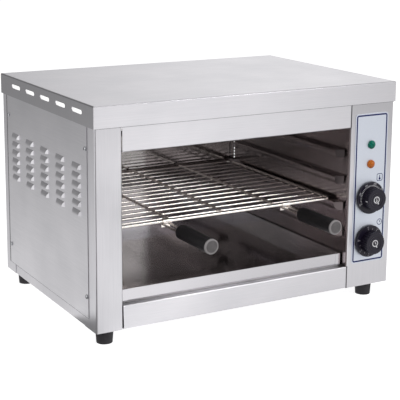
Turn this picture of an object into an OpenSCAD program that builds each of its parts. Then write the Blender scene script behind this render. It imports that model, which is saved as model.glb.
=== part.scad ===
// Counter-top cheese melter: folded stainless housing, grill cavity with pressed rails,
// handled wire rack, crumb tray, overhead heating elements and a side control panel.
// Millimetres. +Z is up and the front faces -Y. The origin is on the counter, under the
// middle of the whole object's box.

/* [Housing] */
// Width of the housing
housing_w = 580; // [540:1:640]
// Depth of the housing
housing_d = 404; // [380:1:460]
// Height from the housing's underside to the lid's lower edge
housing_h = 332; // [322:1:380]
// Thickness of the sheet
sheet_t = 1; // [0.8:0.1:1.4]
// Outside radius of the folds
fold_r = 2.6; // [2:0.1:4]
// Depth of the folded side legs of the front and rear pieces
leg_d = 45; // [38:1:60]
// Depth of the short returns beside the cavity
return_d = 12; // [8:0.5:18]

/* [Lid] */
// Height of the lid's skirt
lid_h = 36; // [32:1:48]
// Gap between the lid's skirt and the side panels
lid_gap = 0.2; // [0.1:0.1:3]
// Outside radius of the lid's upper edge
lid_edge_r = 2.2; // [1.6:0.1:3]
// Number of vent slots in each side of the skirt
vent_count = 5; // [3:1:5]
// Distance between vent slots
vent_pitch = 67; // [50:0.5:72]
// Length of a vent slot
vent_len = 40; // [24:0.5:46]
// Height of a vent slot
vent_h = 7; // [4:0.1:10]
// Height of the slots' centres above the lid's lower edge
vent_rise = 20; // [14:0.5:25]
// Distance from the housing's front to the first slot's centre
vent_front = 62; // [40:0.5:70]

/* [Front] */
// Width of the left front post
post_w = 46.8; // [44:0.2:52]
// Width of the control panel
control_w = 91.3; // [84:0.1:93]
// Height of the upper fascia below the lid
fascia_h = 41; // [36:0.5:50]
// Height of the lower front panel
apron_h = 40.4; // [34:0.2:48]
// Depth of the lower front panel's ledge
ledge_d = 16; // [14:0.5:24]
// How far the lower front panel's left end leans inwards at its foot
apron_lean = 1.2; // [0:0.1:5]
// Seam between neighbouring front pieces
seam = 0.8; // [0.4:0.1:0.95]

/* [Side panels] */
// Distance from the housing's front to the side panel
side_front = 28; // [20:0.5:32]
// Distance from the side panel to the housing's back
side_back = 24; // [18:0.5:32]
// Height of the side panel's lower edge
side_low = 18; // [10:0.5:26]
// How far the side panel reaches up behind the lid's skirt
side_tuck = 6; // [3:0.5:9]
// Rows of louvres
louvre_rows = 6; // [3:1:8]
// Columns of louvres
louvre_cols = 5; // [3:1:5]
// Distance between louvre columns
louvre_pitch_y = 67.5; // [44:0.5:70]
// Distance between louvre rows
louvre_pitch_z = 15.2; // [13:0.1:18]
// Length of a louvre
louvre_len = 32; // [20:0.5:36]
// Height of a louvre
louvre_h = 8.6; // [6:0.1:10]
// How far a louvre stands out
louvre_out = 4; // [3:0.1:5]
// Distance from the housing's front to the first louvre
louvre_front = 52; // [42:0.5:56]
// Height of the lowest louvre's open lower edge
louvre_low = 182; // [120:0.5:200]

/* [Cavity] */
// How far the left post reaches in front of the cavity
post_cover = 5.8; // [4:0.1:5.8]
// Distance from the cavity to the housing's right side
cavity_right = 94; // [93.5:0.5:98]
// Distance from the cavity to the housing's back
cavity_back = 8; // [6:0.5:20]
// How far the cavity's ceiling lies below the lid's lower edge
ceiling_drop = 10; // [6:0.5:14]
// Number of rails in each side wall
rail_count = 4; // [2:1:4]
// Distance between rails
rail_pitch = 47.5; // [40:0.1:48]
// Height of the lowest rail's top
rail_low = 108.2; // [100:0.1:112]
// How far a rail stands out from its wall
rail_out = 13; // [11:0.1:15]
// Height of a rail's flat front
rail_tip_h = 7.4; // [5:0.1:9]
// Height of a rail where it leaves the wall
rail_root_h = 13.8; // [12:0.1:18]
// Radius of the fold along a rail's upper edge
rail_fold_r = 2.6; // [1.6:0.1:3]
// Gap between the front pieces' returns and the rails
rail_gap = 0.5; // [0.5:0.5:6]
// Length of the ramp at a rail's front end
rail_ramp = 10; // [6:0.5:20]
// Distance from a rail's rear end to the cavity's back
rail_back = 30; // [16:0.5:40]
// Rows of small vents at the back of each side wall
pore_rows = 17; // [6:1:20]
// Distance between the rows of small vents
pore_pitch = 6.1; // [5:0.1:8]

/* [Heating] */
// Diameter of the heating tubes
element_d = 8; // [6:0.1:9]
// Distance between the two runs of an element
element_span = 62; // [50:1:66]
// Distance from the housing's front to the first run
element_front = 80; // [70:1:90]
// Distance between the two elements
element_pitch = 150; // [140:1:160]
// How far the tubes' centres lie below the ceiling
element_drop = 19; // [16:0.5:22]
// Thickness of the insulation board
board_t = 34; // [20:1:38]

/* [Crumb tray] */
// Height of the tray
tray_h = 21.3; // [16:0.1:28]
// Distance from the housing's front to the tray
tray_front = 12; // [10:0.5:16]
// Gap between the tray and the cavity's back
tray_back_gap = 9; // [4:0.5:16]
// Gap between the tray and each side of the front opening
tray_side_gap = 2.2; // [1.4:0.1:4]
// Width of the tray's folded front corners
tray_tab_w = 12; // [8:0.5:18]

/* [Wire rack] */
// Rail that carries the rack, counted up from the lowest
rack_rail = 1; // [0:1:2]
// Diameter of the frame wire
frame_wire = 5.4; // [4:0.1:6]
// Diameter of the grid wires
grid_wire = 3.4; // [2.6:0.1:3.8]
// Diameter of the cross wires
cross_wire = 4.2; // [3:0.1:4.8]
// Number of grid wires
grid_count = 13; // [8:1:13]
// Distance between grid wires
grid_pitch = 25.5; // [20:0.5:26]
// Number of cross wires
cross_count = 3; // [1:1:3]
// Distance between cross wires
cross_pitch = 104; // [80:1:110]
// How far the cross wires lie left of the rack's middle
cross_left = 9; // [0:0.5:12]
// Gap between each cavity wall and the frame wire's centre
rack_side_gap = 9; // [8.9:0.1:9.5]
// Distance from the housing's front to the front frame wire
rack_front = 39; // [37:0.5:46]
// Distance from the rear frame wire to the cavity's back
rack_back_gap = 10; // [6:0.5:16]
// Radius of the frame's corners
frame_bend_r = 12; // [8:0.5:14]
// Radius of the grid wires' bent ends
grid_bend_r = 9; // [5:0.5:10]

/* [Handles] */
// Distance between the two handles
handle_spacing = 234.5; // [180:0.5:300]
// Diameter of a grip
grip_d = 24.5; // [20:0.1:28]
// Length of a grip without its cap
grip_len = 94; // [70:1:120]
// Distance from the housing's front to the grip
grip_stand = 13.5; // [1:0.5:16]
// Thickness of the grip's end cap
cap_t = 3; // [2:0.1:4]
// Diameter of the shank's wires
shank_wire = 4; // [3:0.1:4.6]
// Distance between the shank's wires
shank_spacing = 12; // [10:0.1:13]
// Depth of the shank in the grip
shank_depth = 30; // [20:1:50]
// How far the shank lies below the rack's frame
shank_drop = 5.2; // [5:0.1:6]
// Width of the clip on the frame wire
clip_w = 16; // [15:0.5:26]

/* [Controls] */
// Distance from the controls' centre line to the housing's right side
control_x = 46.6; // [42:0.1:48]
// Height of the thermostat's shaft
thermostat_z = 162; // [150:0.5:165]
// Height of the timer's shaft
timer_z = 82.5; // [76:0.5:88]
// Height of the power lamp
power_lamp_z = 258; // [250:0.5:265]
// Height of the heating lamp
heat_lamp_z = 223; // [210:0.1:230]
// Width of the overlay plate
overlay_w = 71; // [64:0.5:74]
// Height of the overlay plate
overlay_h = 271; // [260:0.5:276]
// Height of the overlay plate's lower edge
overlay_low = 43.4; // [40:0.2:48]
// Radius of the overlay plate's corners
overlay_r = 6; // [3:0.5:9]
// Thickness of the overlay plate
overlay_t = 0.8; // [0.5:0.1:1.2]
// Diameter of a knob's skirt
skirt_d = 58; // [50:0.5:62]
// Thickness of a knob's skirt
skirt_t = 4; // [3:0.1:5]
// Diameter of a knob's grip
knob_d = 40.5; // [36:0.5:46]
// How far a knob reaches in front of the housing
knob_reach = 23; // [22:0.5:33]
// Number of flutes round a knob
flute_count = 28; // [16:1:32]
// Radius of a flute
flute_r = 1.5; // [1:0.1:1.8]
// Diameter of the control shafts
shaft_d = 6; // [5:0.1:7]
// Diameter of a pilot lamp's lens
lens_d = 15; // [12:0.1:18]

/* [Feet and inlet] */
// Height of the feet
foot_h = 22; // [16:0.5:28]
// Diameter of a foot at the housing
foot_d = 30; // [24:0.5:32]
// Diameter of a foot at the counter
foot_low_d = 26.6; // [22:0.2:28]
// Distance from the left side to the left feet's centres
foot_left = 22.5; // [20:0.5:40]
// Distance from the right side to the right feet's centres
foot_right = 39.5; // [22:0.5:50]
// Distance from the front to the front feet's centres
foot_front = 19; // [19:0.5:40]
// Distance from the back to the rear feet's centres
foot_back = 39; // [24:0.5:60]
// Radius of the cord's way through the gland
gland_bore_r = 4.2; // [3:0.1:5]
// How far the gland stands out at the back
gland_out = 20; // [14:0.5:26]

/* [Hidden] */
$fn = 48;

// Small margin by which a cut reaches past a face
over = 1;
// Gap between a resting piece and its seat
rest_gap = 0.3;
// Radial play of a shaft in its bearing
run_gap = 0.05;
// Radial play of a screw or wire in its hole
hole_gap = 0.2;

// Derived sizes, measured from the housing's lower left front corner
panel_h = housing_h + lid_h - sheet_t;
cavity_left = post_w - post_cover;
cavity_x1 = housing_w - cavity_right;
cavity_w = cavity_x1 - cavity_left;
cavity_y1 = housing_d - cavity_back;
cavity_z0 = apron_h + sheet_t;
ceiling_z = housing_h - ceiling_drop;
wall_h = ceiling_z - cavity_z0;
opening_x1 = housing_w - control_w;
opening_z1 = housing_h - fascia_h;
side_d = housing_d - side_front - side_back;
side_h = housing_h + side_tuck - side_low;
element_z = ceiling_z - element_drop;
control_cx = housing_w - control_x;
inner_r = fold_r - sheet_t;
rail_front = return_d + rail_gap;
lid_overhang = 2 * sheet_t + lid_gap;

// Rack levels: the frame wire lies on the flat top of its rail
rack_z = rail_low + rack_rail * rail_pitch + rest_gap + frame_wire / 2;
rack_x0 = cavity_left + rack_side_gap;
rack_x1 = cavity_x1 - rack_side_gap;
rack_y1 = cavity_y1 - rack_back_gap;
handle_cx = (rack_x0 + rack_x1) / 2;
shank_z = rack_z - shank_drop;
grip_end = grip_stand + grip_len + cap_t;

// Depth of the whole object and the place of the housing's front in it
y_front = (grip_end - housing_d - gland_out) / 2;

// Screws
screw_r = 1.9;
screw_head_r = 3.6;
screw_head_t = 2;
screw_len = 5;
recess_len = 4.2;
recess_w = 1;
recess_depth = 1.2;
lid_screw_inset = 120;
foot_screw_r = 2.5;
foot_recess_r = 6;
foot_recess_d = 6;
nut_t = 4;
nut_r = 4.6;

// Side panel screws, from the panel's edges
side_screw_in = 6;
side_screw_low = 35;
side_screw_high = 36.5;
side_screws = [
    for (y = [side_front + side_screw_in, housing_d - side_back - side_screw_in],
         z = [side_low + side_screw_low, housing_h - side_screw_high]) [y, z]
];

// Bushings of the control shafts and bodies of the lamps
bushing_r = 5;
lamp_body_r = 6;

// Rear panel
rear_screw_low = 12;
rear_screw_inset = 60;
rear_vent_count = 12;
rear_vent_pitch = 14;
rear_vent_h = 60;
rear_vent_w = 5;
rear_vent_z = 170;
gland_inset = 45;
gland_z = 52;
gland_body_r = 10;
gland_thread_r = 8;
gland_flange_t = 4;
gland_nut_r = 12;
gland_inner = 14;
gland_nose_r = 7;
gland_nose_len = 8;

// Sheet works ------------------------------------------------------------

// Places a piece from the housing's lower left front corner
module from_corner(x, y, z) {
    translate([x - housing_w / 2, y_front + y, foot_h + z]) children();
}

// Extrudes an outline of X and Z backwards
module along_y(length) {
    rotate([90, 0, 0]) mirror([0, 0, 1]) linear_extrude(length) children();
}

// Extrudes an outline of Y and Z to the right
module along_x(length) {
    rotate([90, 0, 90]) linear_extrude(length) children();
}

// Rectangle with four round corners
module rounded_rect(w, h, r) {
    translate([r, 0]) square([w - 2 * r, h]);
    translate([0, r]) square([w, h - 2 * r]);
    for (x = [r, w - r], y = [r, h - r]) {
        translate([x, y]) circle(r);
    }
}

// Rectangle whose two upper corners are round
module arched_rect(w, h, r) {
    square([w, h - r]);
    translate([r, 0]) square([w - 2 * r, h]);
    for (x = [r, w - r]) {
        translate([x, h - r]) circle(r);
    }
}

// Closed ring of folded sheet
module sheet_ring(w, d) {
    difference() {
        rounded_rect(w, d, fold_r);
        translate([sheet_t, sheet_t]) rounded_rect(w - 2 * sheet_t, d - 2 * sheet_t, inner_r);
    }
}

// Channel of folded sheet: web along the first axis, a leg at each end
module sheet_channel(w, first_leg, second_leg) {
    longest = max(first_leg, second_leg);
    difference() {
        sheet_ring(w, longest + 2 * fold_r);
        translate([-over, first_leg]) square([w / 2 + over, longest + 2 * fold_r]);
        translate([w / 2, second_leg]) square([w / 2 + over, longest + 2 * fold_r]);
    }
}

// Slot with round ends, centred
module slot_outline(length, height) {
    square([length - height, height], center = true);
    for (s = [-1, 1]) {
        translate([s * (length - height) / 2, 0]) circle(height / 2);
    }
}

// Cross-recessed pan-head screw whose head's seat is the origin and whose shank points to -Z
module pan_screw(r, length) {
    difference() {
        rotate_extrude() polygon([
            [0, -length], [r, -length], [r, 0], [screw_head_r, 0],
            [screw_head_r, screw_head_t / 2], [screw_head_r - screw_head_t / 2, screw_head_t],
            [0, screw_head_t]
        ]);
        translate([0, 0, screw_head_t - recess_depth]) linear_extrude(recess_depth + over) {
            square([recess_len, recess_w], center = true);
            square([recess_w, recess_len], center = true);
        }
    }
}

// Lid --------------------------------------------------------------------

// Outside of the lid or, with an inset, its hollow
module lid_block(inset, drop) {
    w = housing_w + 2 * (lid_overhang - inset);
    d = housing_d + 2 * (lid_overhang - inset);
    h = lid_h - inset + drop;
    r = inset > 0 ? min(lid_edge_r, lid_overhang) - inset : lid_edge_r;
    from_corner(inset - lid_overhang, inset - lid_overhang, housing_h - drop) {
        intersection() {
            along_y(d) arched_rect(w, h, r);
            along_x(w) arched_rect(d, h, r);
        }
    }
}

module top_cover() {
    color("gainsboro") difference() {
        lid_block(0, 0);
        lid_block(sheet_t, over);
        from_corner(-lid_overhang - over, vent_front, housing_h + vent_rise) {
            along_x(housing_w + 2 * (lid_overhang + over)) {
                for (i = [0:vent_count - 1]) {
                    translate([i * vent_pitch, 0]) slot_outline(vent_len, vent_h);
                }
            }
        }
        for (x = [lid_screw_inset, housing_w - lid_screw_inset]) {
            from_corner(x, housing_d, housing_h + vent_rise) {
                rotate([-90, 0, 0]) cylinder(r = screw_r + hole_gap, h = lid_overhang + over);
            }
        }
    }
}

// Front pieces -------------------------------------------------------------

module left_post() {
    color("gainsboro") difference() {
        from_corner(0, 0, 0) linear_extrude(panel_h) sheet_channel(post_w, leg_d, return_d);
        side_screw_holes(0);
    }
}

module upper_fascia() {
    fascia_w = opening_x1 - post_w - 2 * seam;
    color("gainsboro") difference() {
        from_corner(post_w + seam, 0, opening_z1) along_x(fascia_w) {
            mirror([1, -1]) sheet_channel(panel_h - opening_z1, return_d, leg_d / 2);
        }
        // The lower return stops at the cavity's right wall
        from_corner(cavity_x1 - rest_gap, sheet_t, opening_z1 - over) {
            cube([cavity_right, return_d, ceiling_z - opening_z1 + 2 * over]);
        }
    }
}

module lower_front_panel() {
    apron_w = opening_x1 - post_w - 2 * seam;
    color("gainsboro") difference() {
        from_corner(post_w + seam, 0, 0) along_x(apron_w) {
            mirror([1, -1]) sheet_channel(apron_h, return_d, ledge_d);
        }
        from_corner(post_w + seam, -over, 0) {
            along_y(return_d + 2 * over) polygon([
                [-over, -over], [apron_lean, -over], [0, apron_h], [-over, apron_h]
            ]);
        }
    }
}

module control_panel() {
    color("silver") difference() {
        from_corner(opening_x1, 0, 0) {
            linear_extrude(panel_h) sheet_channel(control_w, return_d, leg_d);
        }
        side_screw_holes(housing_w);
        control_holes(-over, sheet_t + 2 * over);
    }
}

// Round holes for the two shafts' bushings and the two lamps
module control_holes(y, depth) {
    from_corner(control_cx, y, 0) {
        for (z = [thermostat_z, timer_z]) {
            translate([0, 0, z]) rotate([-90, 0, 0]) cylinder(r = bushing_r + hole_gap, h = depth);
        }
        for (z = [power_lamp_z, heat_lamp_z]) {
            translate([0, 0, z]) rotate([-90, 0, 0]) cylinder(r = lamp_body_r + hole_gap, h = depth);
        }
    }
}

module control_overlay() {
    color("lightsteelblue") difference() {
        from_corner(control_cx - overlay_w / 2, -overlay_t, overlay_low) {
            along_y(overlay_t) rounded_rect(overlay_w, overlay_h, overlay_r);
        }
        control_holes(-overlay_t - over, overlay_t + 2 * over);
    }
}

// Base and back --------------------------------------------------------------

base_flange_h = 24;
base_vent_count = 9;
base_vent_pitch = 24;
base_vent_len = 60;
base_vent_w = 6;

function foot_places() = [
    [foot_left, foot_front], [housing_w - foot_right, foot_front],
    [foot_left, housing_d - foot_back], [housing_w - foot_right, housing_d - foot_back]
];

module base_plate() {
    w = housing_w - 2 * sheet_t;
    d = housing_d - sheet_t - return_d;
    leg_y = leg_d + rest_gap;
    color("darkgray") difference() {
        union() {
            from_corner(sheet_t, return_d, 0) cube([w, d, sheet_t]);
            for (x = [sheet_t, housing_w - 2 * sheet_t]) {
                from_corner(x, leg_y, 0) cube([sheet_t, housing_d - 2 * leg_y, base_flange_h]);
            }
            from_corner(leg_y, housing_d - 2 * sheet_t, 0) {
                cube([housing_w - 2 * leg_y, sheet_t, base_flange_h]);
            }
        }
        // The corners clear the folds of the rear panel
        for (x = [sheet_t, housing_w - sheet_t - fold_r]) {
            from_corner(x, housing_d - sheet_t - fold_r, -over) {
                cube([fold_r, fold_r, sheet_t + 2 * over]);
            }
        }
        for (p = foot_places()) {
            from_corner(p[0], p[1], -over) {
                cylinder(r = foot_screw_r + hole_gap, h = sheet_t + 2 * over);
            }
        }
        from_corner(housing_w / 2, housing_d / 2, -over) linear_extrude(sheet_t + 2 * over) {
            for (i = [0:base_vent_count - 1]) {
                translate([(i - (base_vent_count - 1) / 2) * base_vent_pitch, 0])
                    rotate(90) slot_outline(base_vent_len, base_vent_w);
            }
        }
        rear_low_holes(housing_d - 2 * sheet_t - over);
    }
}

// Holes for the screws along the lower edge of the back
module rear_low_holes(y) {
    for (x = [rear_screw_inset, housing_w / 2, housing_w - rear_screw_inset]) {
        from_corner(x, y, rear_screw_low) {
            rotate([-90, 0, 0]) cylinder(r = screw_r + hole_gap, h = 2 * sheet_t + 2 * over);
        }
    }
}

module rear_panel() {
    color("gainsboro") difference() {
        union() {
            from_corner(0, housing_d, 0) mirror([0, 1]) {
                linear_extrude(panel_h) sheet_channel(housing_w, leg_d, leg_d);
            }
            from_corner(leg_d, housing_d - leg_d / 2, panel_h - sheet_t) {
                cube([housing_w - 2 * leg_d, leg_d / 2, sheet_t]);
            }
        }
        side_screw_holes(0);
        side_screw_holes(housing_w);
        rear_low_holes(housing_d - 2 * sheet_t - over);
        for (x = [lid_screw_inset, housing_w - lid_screw_inset]) {
            from_corner(x, housing_d - sheet_t - over, housing_h + vent_rise) {
                rotate([-90, 0, 0]) cylinder(r = screw_r + hole_gap, h = sheet_t + 2 * over);
            }
        }
        from_corner(housing_w - gland_inset, housing_d - sheet_t - over, gland_z) {
            rotate([-90, 0, 0]) cylinder(r = gland_thread_r + hole_gap, h = sheet_t + 2 * over);
        }
        for (c = [housing_w / 4, 3 * housing_w / 4]) {
            from_corner(c, housing_d - sheet_t - over, rear_vent_z) {
                along_y(sheet_t + 2 * over) {
                    for (i = [0:rear_vent_count - 1]) {
                        translate([(i - (rear_vent_count - 1) / 2) * rear_vent_pitch, 0])
                            rotate(90) slot_outline(rear_vent_h, rear_vent_w);
                    }
                }
            }
        }
    }
}

// Side panels ----------------------------------------------------------------

// Screw holes through one side of the housing, seen from x
module side_screw_holes(x) {
    for (s = side_screws) {
        from_corner(x - fold_r, s[0], s[1]) {
            rotate([0, 90, 0]) cylinder(r = screw_r + hole_gap, h = 2 * fold_r);
        }
    }
}

// Radius of the arc through a louvre's upper fold and its open lower edge
function louvre_arc(h, out) = (h * h + out * out) / (2 * out);

// Cross-section of one louvre row outside the panel's face
module louvre_row(h, out) {
    r = louvre_arc(h, out);
    intersection() {
        translate([r - out, 0]) circle(r);
        translate([-out, 0]) square([out, h]);
    }
}

// Louvre columns seen from above; their ends slope back to the panel
module louvre_columns(inset) {
    slope = louvre_out - inset;
    for (i = [0:louvre_cols - 1]) {
        translate([-sheet_t, i * louvre_pitch_y]) polygon([
            [-slope, louvre_out], [-slope, louvre_len - louvre_out],
            [0, louvre_len - inset], [sheet_t + 2 * over, louvre_len - inset],
            [sheet_t + 2 * over, inset], [0, inset]
        ]);
    }
}

// Outside of all the hoods: every row crossed with every column
module louvre_hoods() {
    intersection() {
        from_corner(-sheet_t, side_front, louvre_low) along_y(side_d) {
            for (i = [0:louvre_rows - 1]) {
                translate([0, i * louvre_pitch_z]) louvre_row(louvre_h, louvre_out);
            }
        }
        from_corner(0, louvre_front, louvre_low - over) {
            linear_extrude(louvre_rows * louvre_pitch_z) louvre_columns(0);
        }
    }
}

// Hollow of all the hoods, open below and through the panel
module louvre_hollows() {
    h = louvre_h - sheet_t;
    intersection() {
        from_corner(-sheet_t, side_front, louvre_low) along_y(side_d) {
            for (i = [0:louvre_rows - 1]) {
                translate([0, i * louvre_pitch_z]) {
                    louvre_row(h, louvre_out - sheet_t);
                    square([sheet_t + over, h]);
                }
            }
        }
        from_corner(0, louvre_front, louvre_low - over) {
            linear_extrude(louvre_rows * louvre_pitch_z) louvre_columns(sheet_t);
        }
    }
}

module louvred_panel() {
    difference() {
        union() {
            difference() {
                from_corner(-sheet_t, side_front, side_low) cube([sheet_t, side_d, side_h]);
                side_screw_holes(0);
            }
            louvre_hoods();
        }
        louvre_hollows();
    }
}

module left_side_panel() {
    color("darkgray") louvred_panel();
}

module right_side_panel() {
    color("darkgray") mirror([1, 0, 0]) louvred_panel();
}

// Cavity -----------------------------------------------------------------------

pore_w = 3;
pore_len = 8;
pore_edge = 8;
pore_low = 166.8;
pore_span = min((pore_rows - 1) * pore_pitch, ceiling_z - 2 * pore_w - pore_low);
rail_lean = 4;

// Cross-section of the rails: flat on top, folded down at the tip and leaning back below it
module rail_rows(inset) {
    tip = rail_out - inset;
    for (i = [0:rail_count - 1]) {
        translate([0, rail_low + i * rail_pitch - cavity_z0]) {
            polygon([
                [-over, -inset], [rail_out - rail_fold_r, -inset],
                [rail_out - rail_fold_r, -rail_fold_r], [tip, -rail_fold_r],
                [tip, -rail_tip_h], [tip - rail_lean, inset - rail_root_h],
                [-over, inset - rail_root_h]
            ]);
            translate([rail_out - rail_fold_r, -rail_fold_r]) circle(rail_fold_r - inset);
        }
    }
}

// Rails of a left-hand wall, with a ramp at their front ends; inset gives their hollow
module rails(inset) {
    length = cavity_y1 - rail_back - rail_front;
    intersection() {
        translate([0, rail_front, 0]) along_y(length) rail_rows(inset);
        translate([0, rail_front, 0]) linear_extrude(wall_h) polygon([
            [-2 * over, inset], [-sheet_t, inset], [rail_out - inset, rail_ramp + inset],
            [rail_out - inset, length - inset], [-2 * over, length - inset]
        ]);
    }
}

// Left-hand wall whose face towards the cavity is x = 0
module cavity_wall(flange_w) {
    wall_d = cavity_y1 - sheet_t;
    difference() {
        union() {
            translate([-sheet_t, sheet_t, 0]) cube([sheet_t, wall_d, wall_h]);
            translate([-flange_w, sheet_t, 0]) cube([flange_w, sheet_t, wall_h]);
            rails(0);
        }
        rails(sheet_t);
        translate([-sheet_t - over, cavity_y1 - pore_edge, pore_low - cavity_z0]) {
            along_x(sheet_t + 2 * over) {
                for (z = [0:pore_pitch:pore_span]) {
                    translate([0, z]) slot_outline(pore_len, pore_w);
                }
            }
        }
    }
}

module cavity_left_wall() {
    color("dimgray") from_corner(cavity_left, 0, cavity_z0) cavity_wall(return_d);
}

module cavity_right_wall() {
    color("dimgray") difference() {
        from_corner(cavity_x1, 0, cavity_z0) {
            mirror([1, 0, 0]) cavity_wall(opening_x1 - cavity_x1);
        }
        for (y = element_runs()) {
            from_corner(cavity_x1 - over, y, element_z) {
                rotate([0, 90, 0]) cylinder(r = element_d / 2 + hole_gap, h = sheet_t + 2 * over);
            }
        }
        from_corner(cavity_x1 - over, bulb_y, bulb_z) {
            rotate([0, 90, 0]) cylinder(r = capillary_r + hole_gap, h = sheet_t + 2 * over);
        }
    }
}

module cavity_back() {
    color("silver") from_corner(cavity_left - sheet_t, cavity_y1, cavity_z0) {
        cube([cavity_w + 2 * sheet_t, sheet_t, wall_h]);
    }
}

module cavity_floor() {
    w = cavity_w + 2 * sheet_t;
    front = return_d + sheet_t;
    color("dimgray") {
        from_corner(cavity_left - sheet_t, front, apron_h) {
            cube([w, cavity_y1 + sheet_t - front, sheet_t]);
        }
        from_corner(cavity_left - sheet_t, cavity_y1, sheet_t) {
            cube([w, sheet_t, apron_h]);
        }
    }
}

module cavity_ceiling() {
    color("silver") from_corner(cavity_left - sheet_t, return_d, ceiling_z) {
        cube([cavity_w + 2 * sheet_t, cavity_y1 + sheet_t - return_d, sheet_t]);
    }
}

// Heating ------------------------------------------------------------------------

element_left = 30;
element_reach = 16;
pin_r = 1.6;
pin_len = 12;
strap_t = 1.5;
strap_low = 8;
strap_flange = 10;
strap_inset = 90;
board_gap = 4;

function element_runs() = [
    for (k = [0, 1], s = [0, 1]) element_front + k * element_pitch + s * element_span
];

// Hairpin element whose bend lies at the left; both ends leave through the right wall
module hairpin(y) {
    bend_r = element_span / 2;
    x0 = cavity_left + element_left + bend_r;
    run = cavity_x1 + element_reach - x0;
    from_corner(x0, y, element_z) {
        for (s = [0, 1]) {
            translate([0, s * element_span, 0]) rotate([0, 90, 0]) {
                cylinder(d = element_d, h = run);
                translate([0, 0, run - over]) cylinder(r = pin_r, h = pin_len + over);
            }
        }
        translate([0, bend_r, 0]) rotate(90) rotate_extrude(angle = 180) {
            translate([bend_r, 0]) circle(d = element_d);
        }
    }
}

module heating_element_front() {
    color("dimgray") hairpin(element_front);
}

module heating_element_rear() {
    color("dimgray") hairpin(element_front + element_pitch);
}

// Straps that hang from the ceiling and hold the four runs
module element_supports() {
    y0 = element_front - 2 * element_d;
    y1 = element_front + element_pitch + element_span + 2 * element_d;
    h = element_drop + strap_low;
    color("silver") for (x = [cavity_left + strap_inset, cavity_x1 - strap_inset]) {
        difference() {
            union() {
                from_corner(x, y0, ceiling_z - h) cube([strap_t, y1 - y0, h]);
                from_corner(x, y0, ceiling_z - strap_t) cube([strap_flange, y1 - y0, strap_t]);
            }
            for (y = element_runs()) {
                from_corner(x - over, y, element_z) {
                    rotate([0, 90, 0]) cylinder(r = element_d / 2 + hole_gap, h = strap_t + 2 * over);
                }
            }
        }
    }
}

// Board of ceramic fibre between the ceiling and the lid
module insulation_board() {
    w = cavity_x1 - board_gap;
    d = cavity_y1 - leg_d / 2 - board_gap;
    color("whitesmoke") from_corner(board_gap, leg_d / 2 + board_gap, ceiling_z + sheet_t) {
        cube([w, d - leg_d / 2, board_t]);
    }
}

shield_x = 12;
shield_foot = 14;
shield_front = 40;
shield_back = 30;
shield_top = 40;

// Shield that keeps the cavity's heat off the controls
module heat_shield() {
    d = cavity_y1 - shield_front - shield_back;
    color("silver") from_corner(cavity_x1 + shield_x, shield_front, sheet_t) {
        cube([sheet_t, d, element_z - shield_top]);
        cube([shield_foot, d, sheet_t]);
    }
}

// Controls -------------------------------------------------------------------------

knob_gap = 1.4;
knob_bevel = 1.2;
flat_h = 1;
thermostat_size = [38, 34, 38];
timer_size = [44, 30, 46];
capillary_r = 1.2;
capillary_bend_r = 4.5;
capillary_side = 14;
bulb_r = 3;
bulb_len = 90;
bulb_y = 20;
bulb_drop = 9;
bulb_z = ceiling_z - bulb_drop;
bulb_wall_gap = 6;
clip_t = 1;
spade_len = 8;
dish_inset = 7.2;
skirt_y = overlay_t + knob_gap;
knob_bore = knob_reach - skirt_y - skirt_t;
shaft_len = knob_bore - over;
shaft_front = skirt_y + shaft_len;
shaft_back = 24;

// Control body behind the panel, with its bushing through the panel's hole
module control_body(z, size) {
    difference() {
        union() {
            from_corner(control_cx - size[0] / 2, sheet_t, z - size[2] / 2) cube(size);
            from_corner(control_cx, -overlay_t, z) {
                rotate([-90, 0, 0]) cylinder(r = bushing_r, h = overlay_t + 2 * sheet_t);
            }
        }
        from_corner(control_cx, -overlay_t - over, z) {
            rotate([-90, 0, 0]) cylinder(r = shaft_d / 2 + run_gap, h = shaft_back + 3 * over);
        }
    }
}

// Spade terminals at the back of a control body
module spades(z, size) {
    for (x = [-1, 1], k = [-1, 1]) {
        from_corner(control_cx + x * size[0] / 4 - clip_t / 2, size[1], z + k * size[2] / 4) {
            cube([clip_t, spade_len, bushing_r]);
        }
    }
}

module thermostat_body() {
    color("tan") {
        control_body(thermostat_z, thermostat_size);
        spades(thermostat_z, thermostat_size);
    }
}

module timer_body() {
    color("silver") {
        control_body(timer_z, timer_size);
        spades(timer_z, timer_size);
    }
}

// Capillary from the thermostat's top, up and through the wall to its bulb
module thermostat_bulb() {
    z0 = thermostat_z + thermostat_size[2] / 2;
    z1 = bulb_z - capillary_bend_r;
    x0 = control_cx - capillary_side;
    x1 = cavity_x1 - bulb_wall_gap;
    color("peru") {
        from_corner(x0, bulb_y, z0) cylinder(r = capillary_r, h = z1 - z0);
        from_corner(x0 - capillary_bend_r, bulb_y, z1) {
            rotate([90, 0, 0]) rotate_extrude(angle = 90) {
                translate([capillary_bend_r, 0]) circle(capillary_r);
            }
        }
        from_corner(x1 + capillary_bend_r, bulb_y, bulb_z) rotate([0, 90, 0]) {
            cylinder(r = capillary_r, h = x0 - x1 - 2 * capillary_bend_r);
        }
        from_corner(x1 + capillary_bend_r, bulb_y + capillary_bend_r, bulb_z) {
            rotate(180) rotate_extrude(angle = 90) {
                translate([capillary_bend_r, 0]) circle(capillary_r);
            }
        }
        from_corner(x1, bulb_y + capillary_bend_r, bulb_z) {
            rotate([-90, 0, 0]) cylinder(r = bulb_r, h = bulb_len);
        }
    }
}

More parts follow.
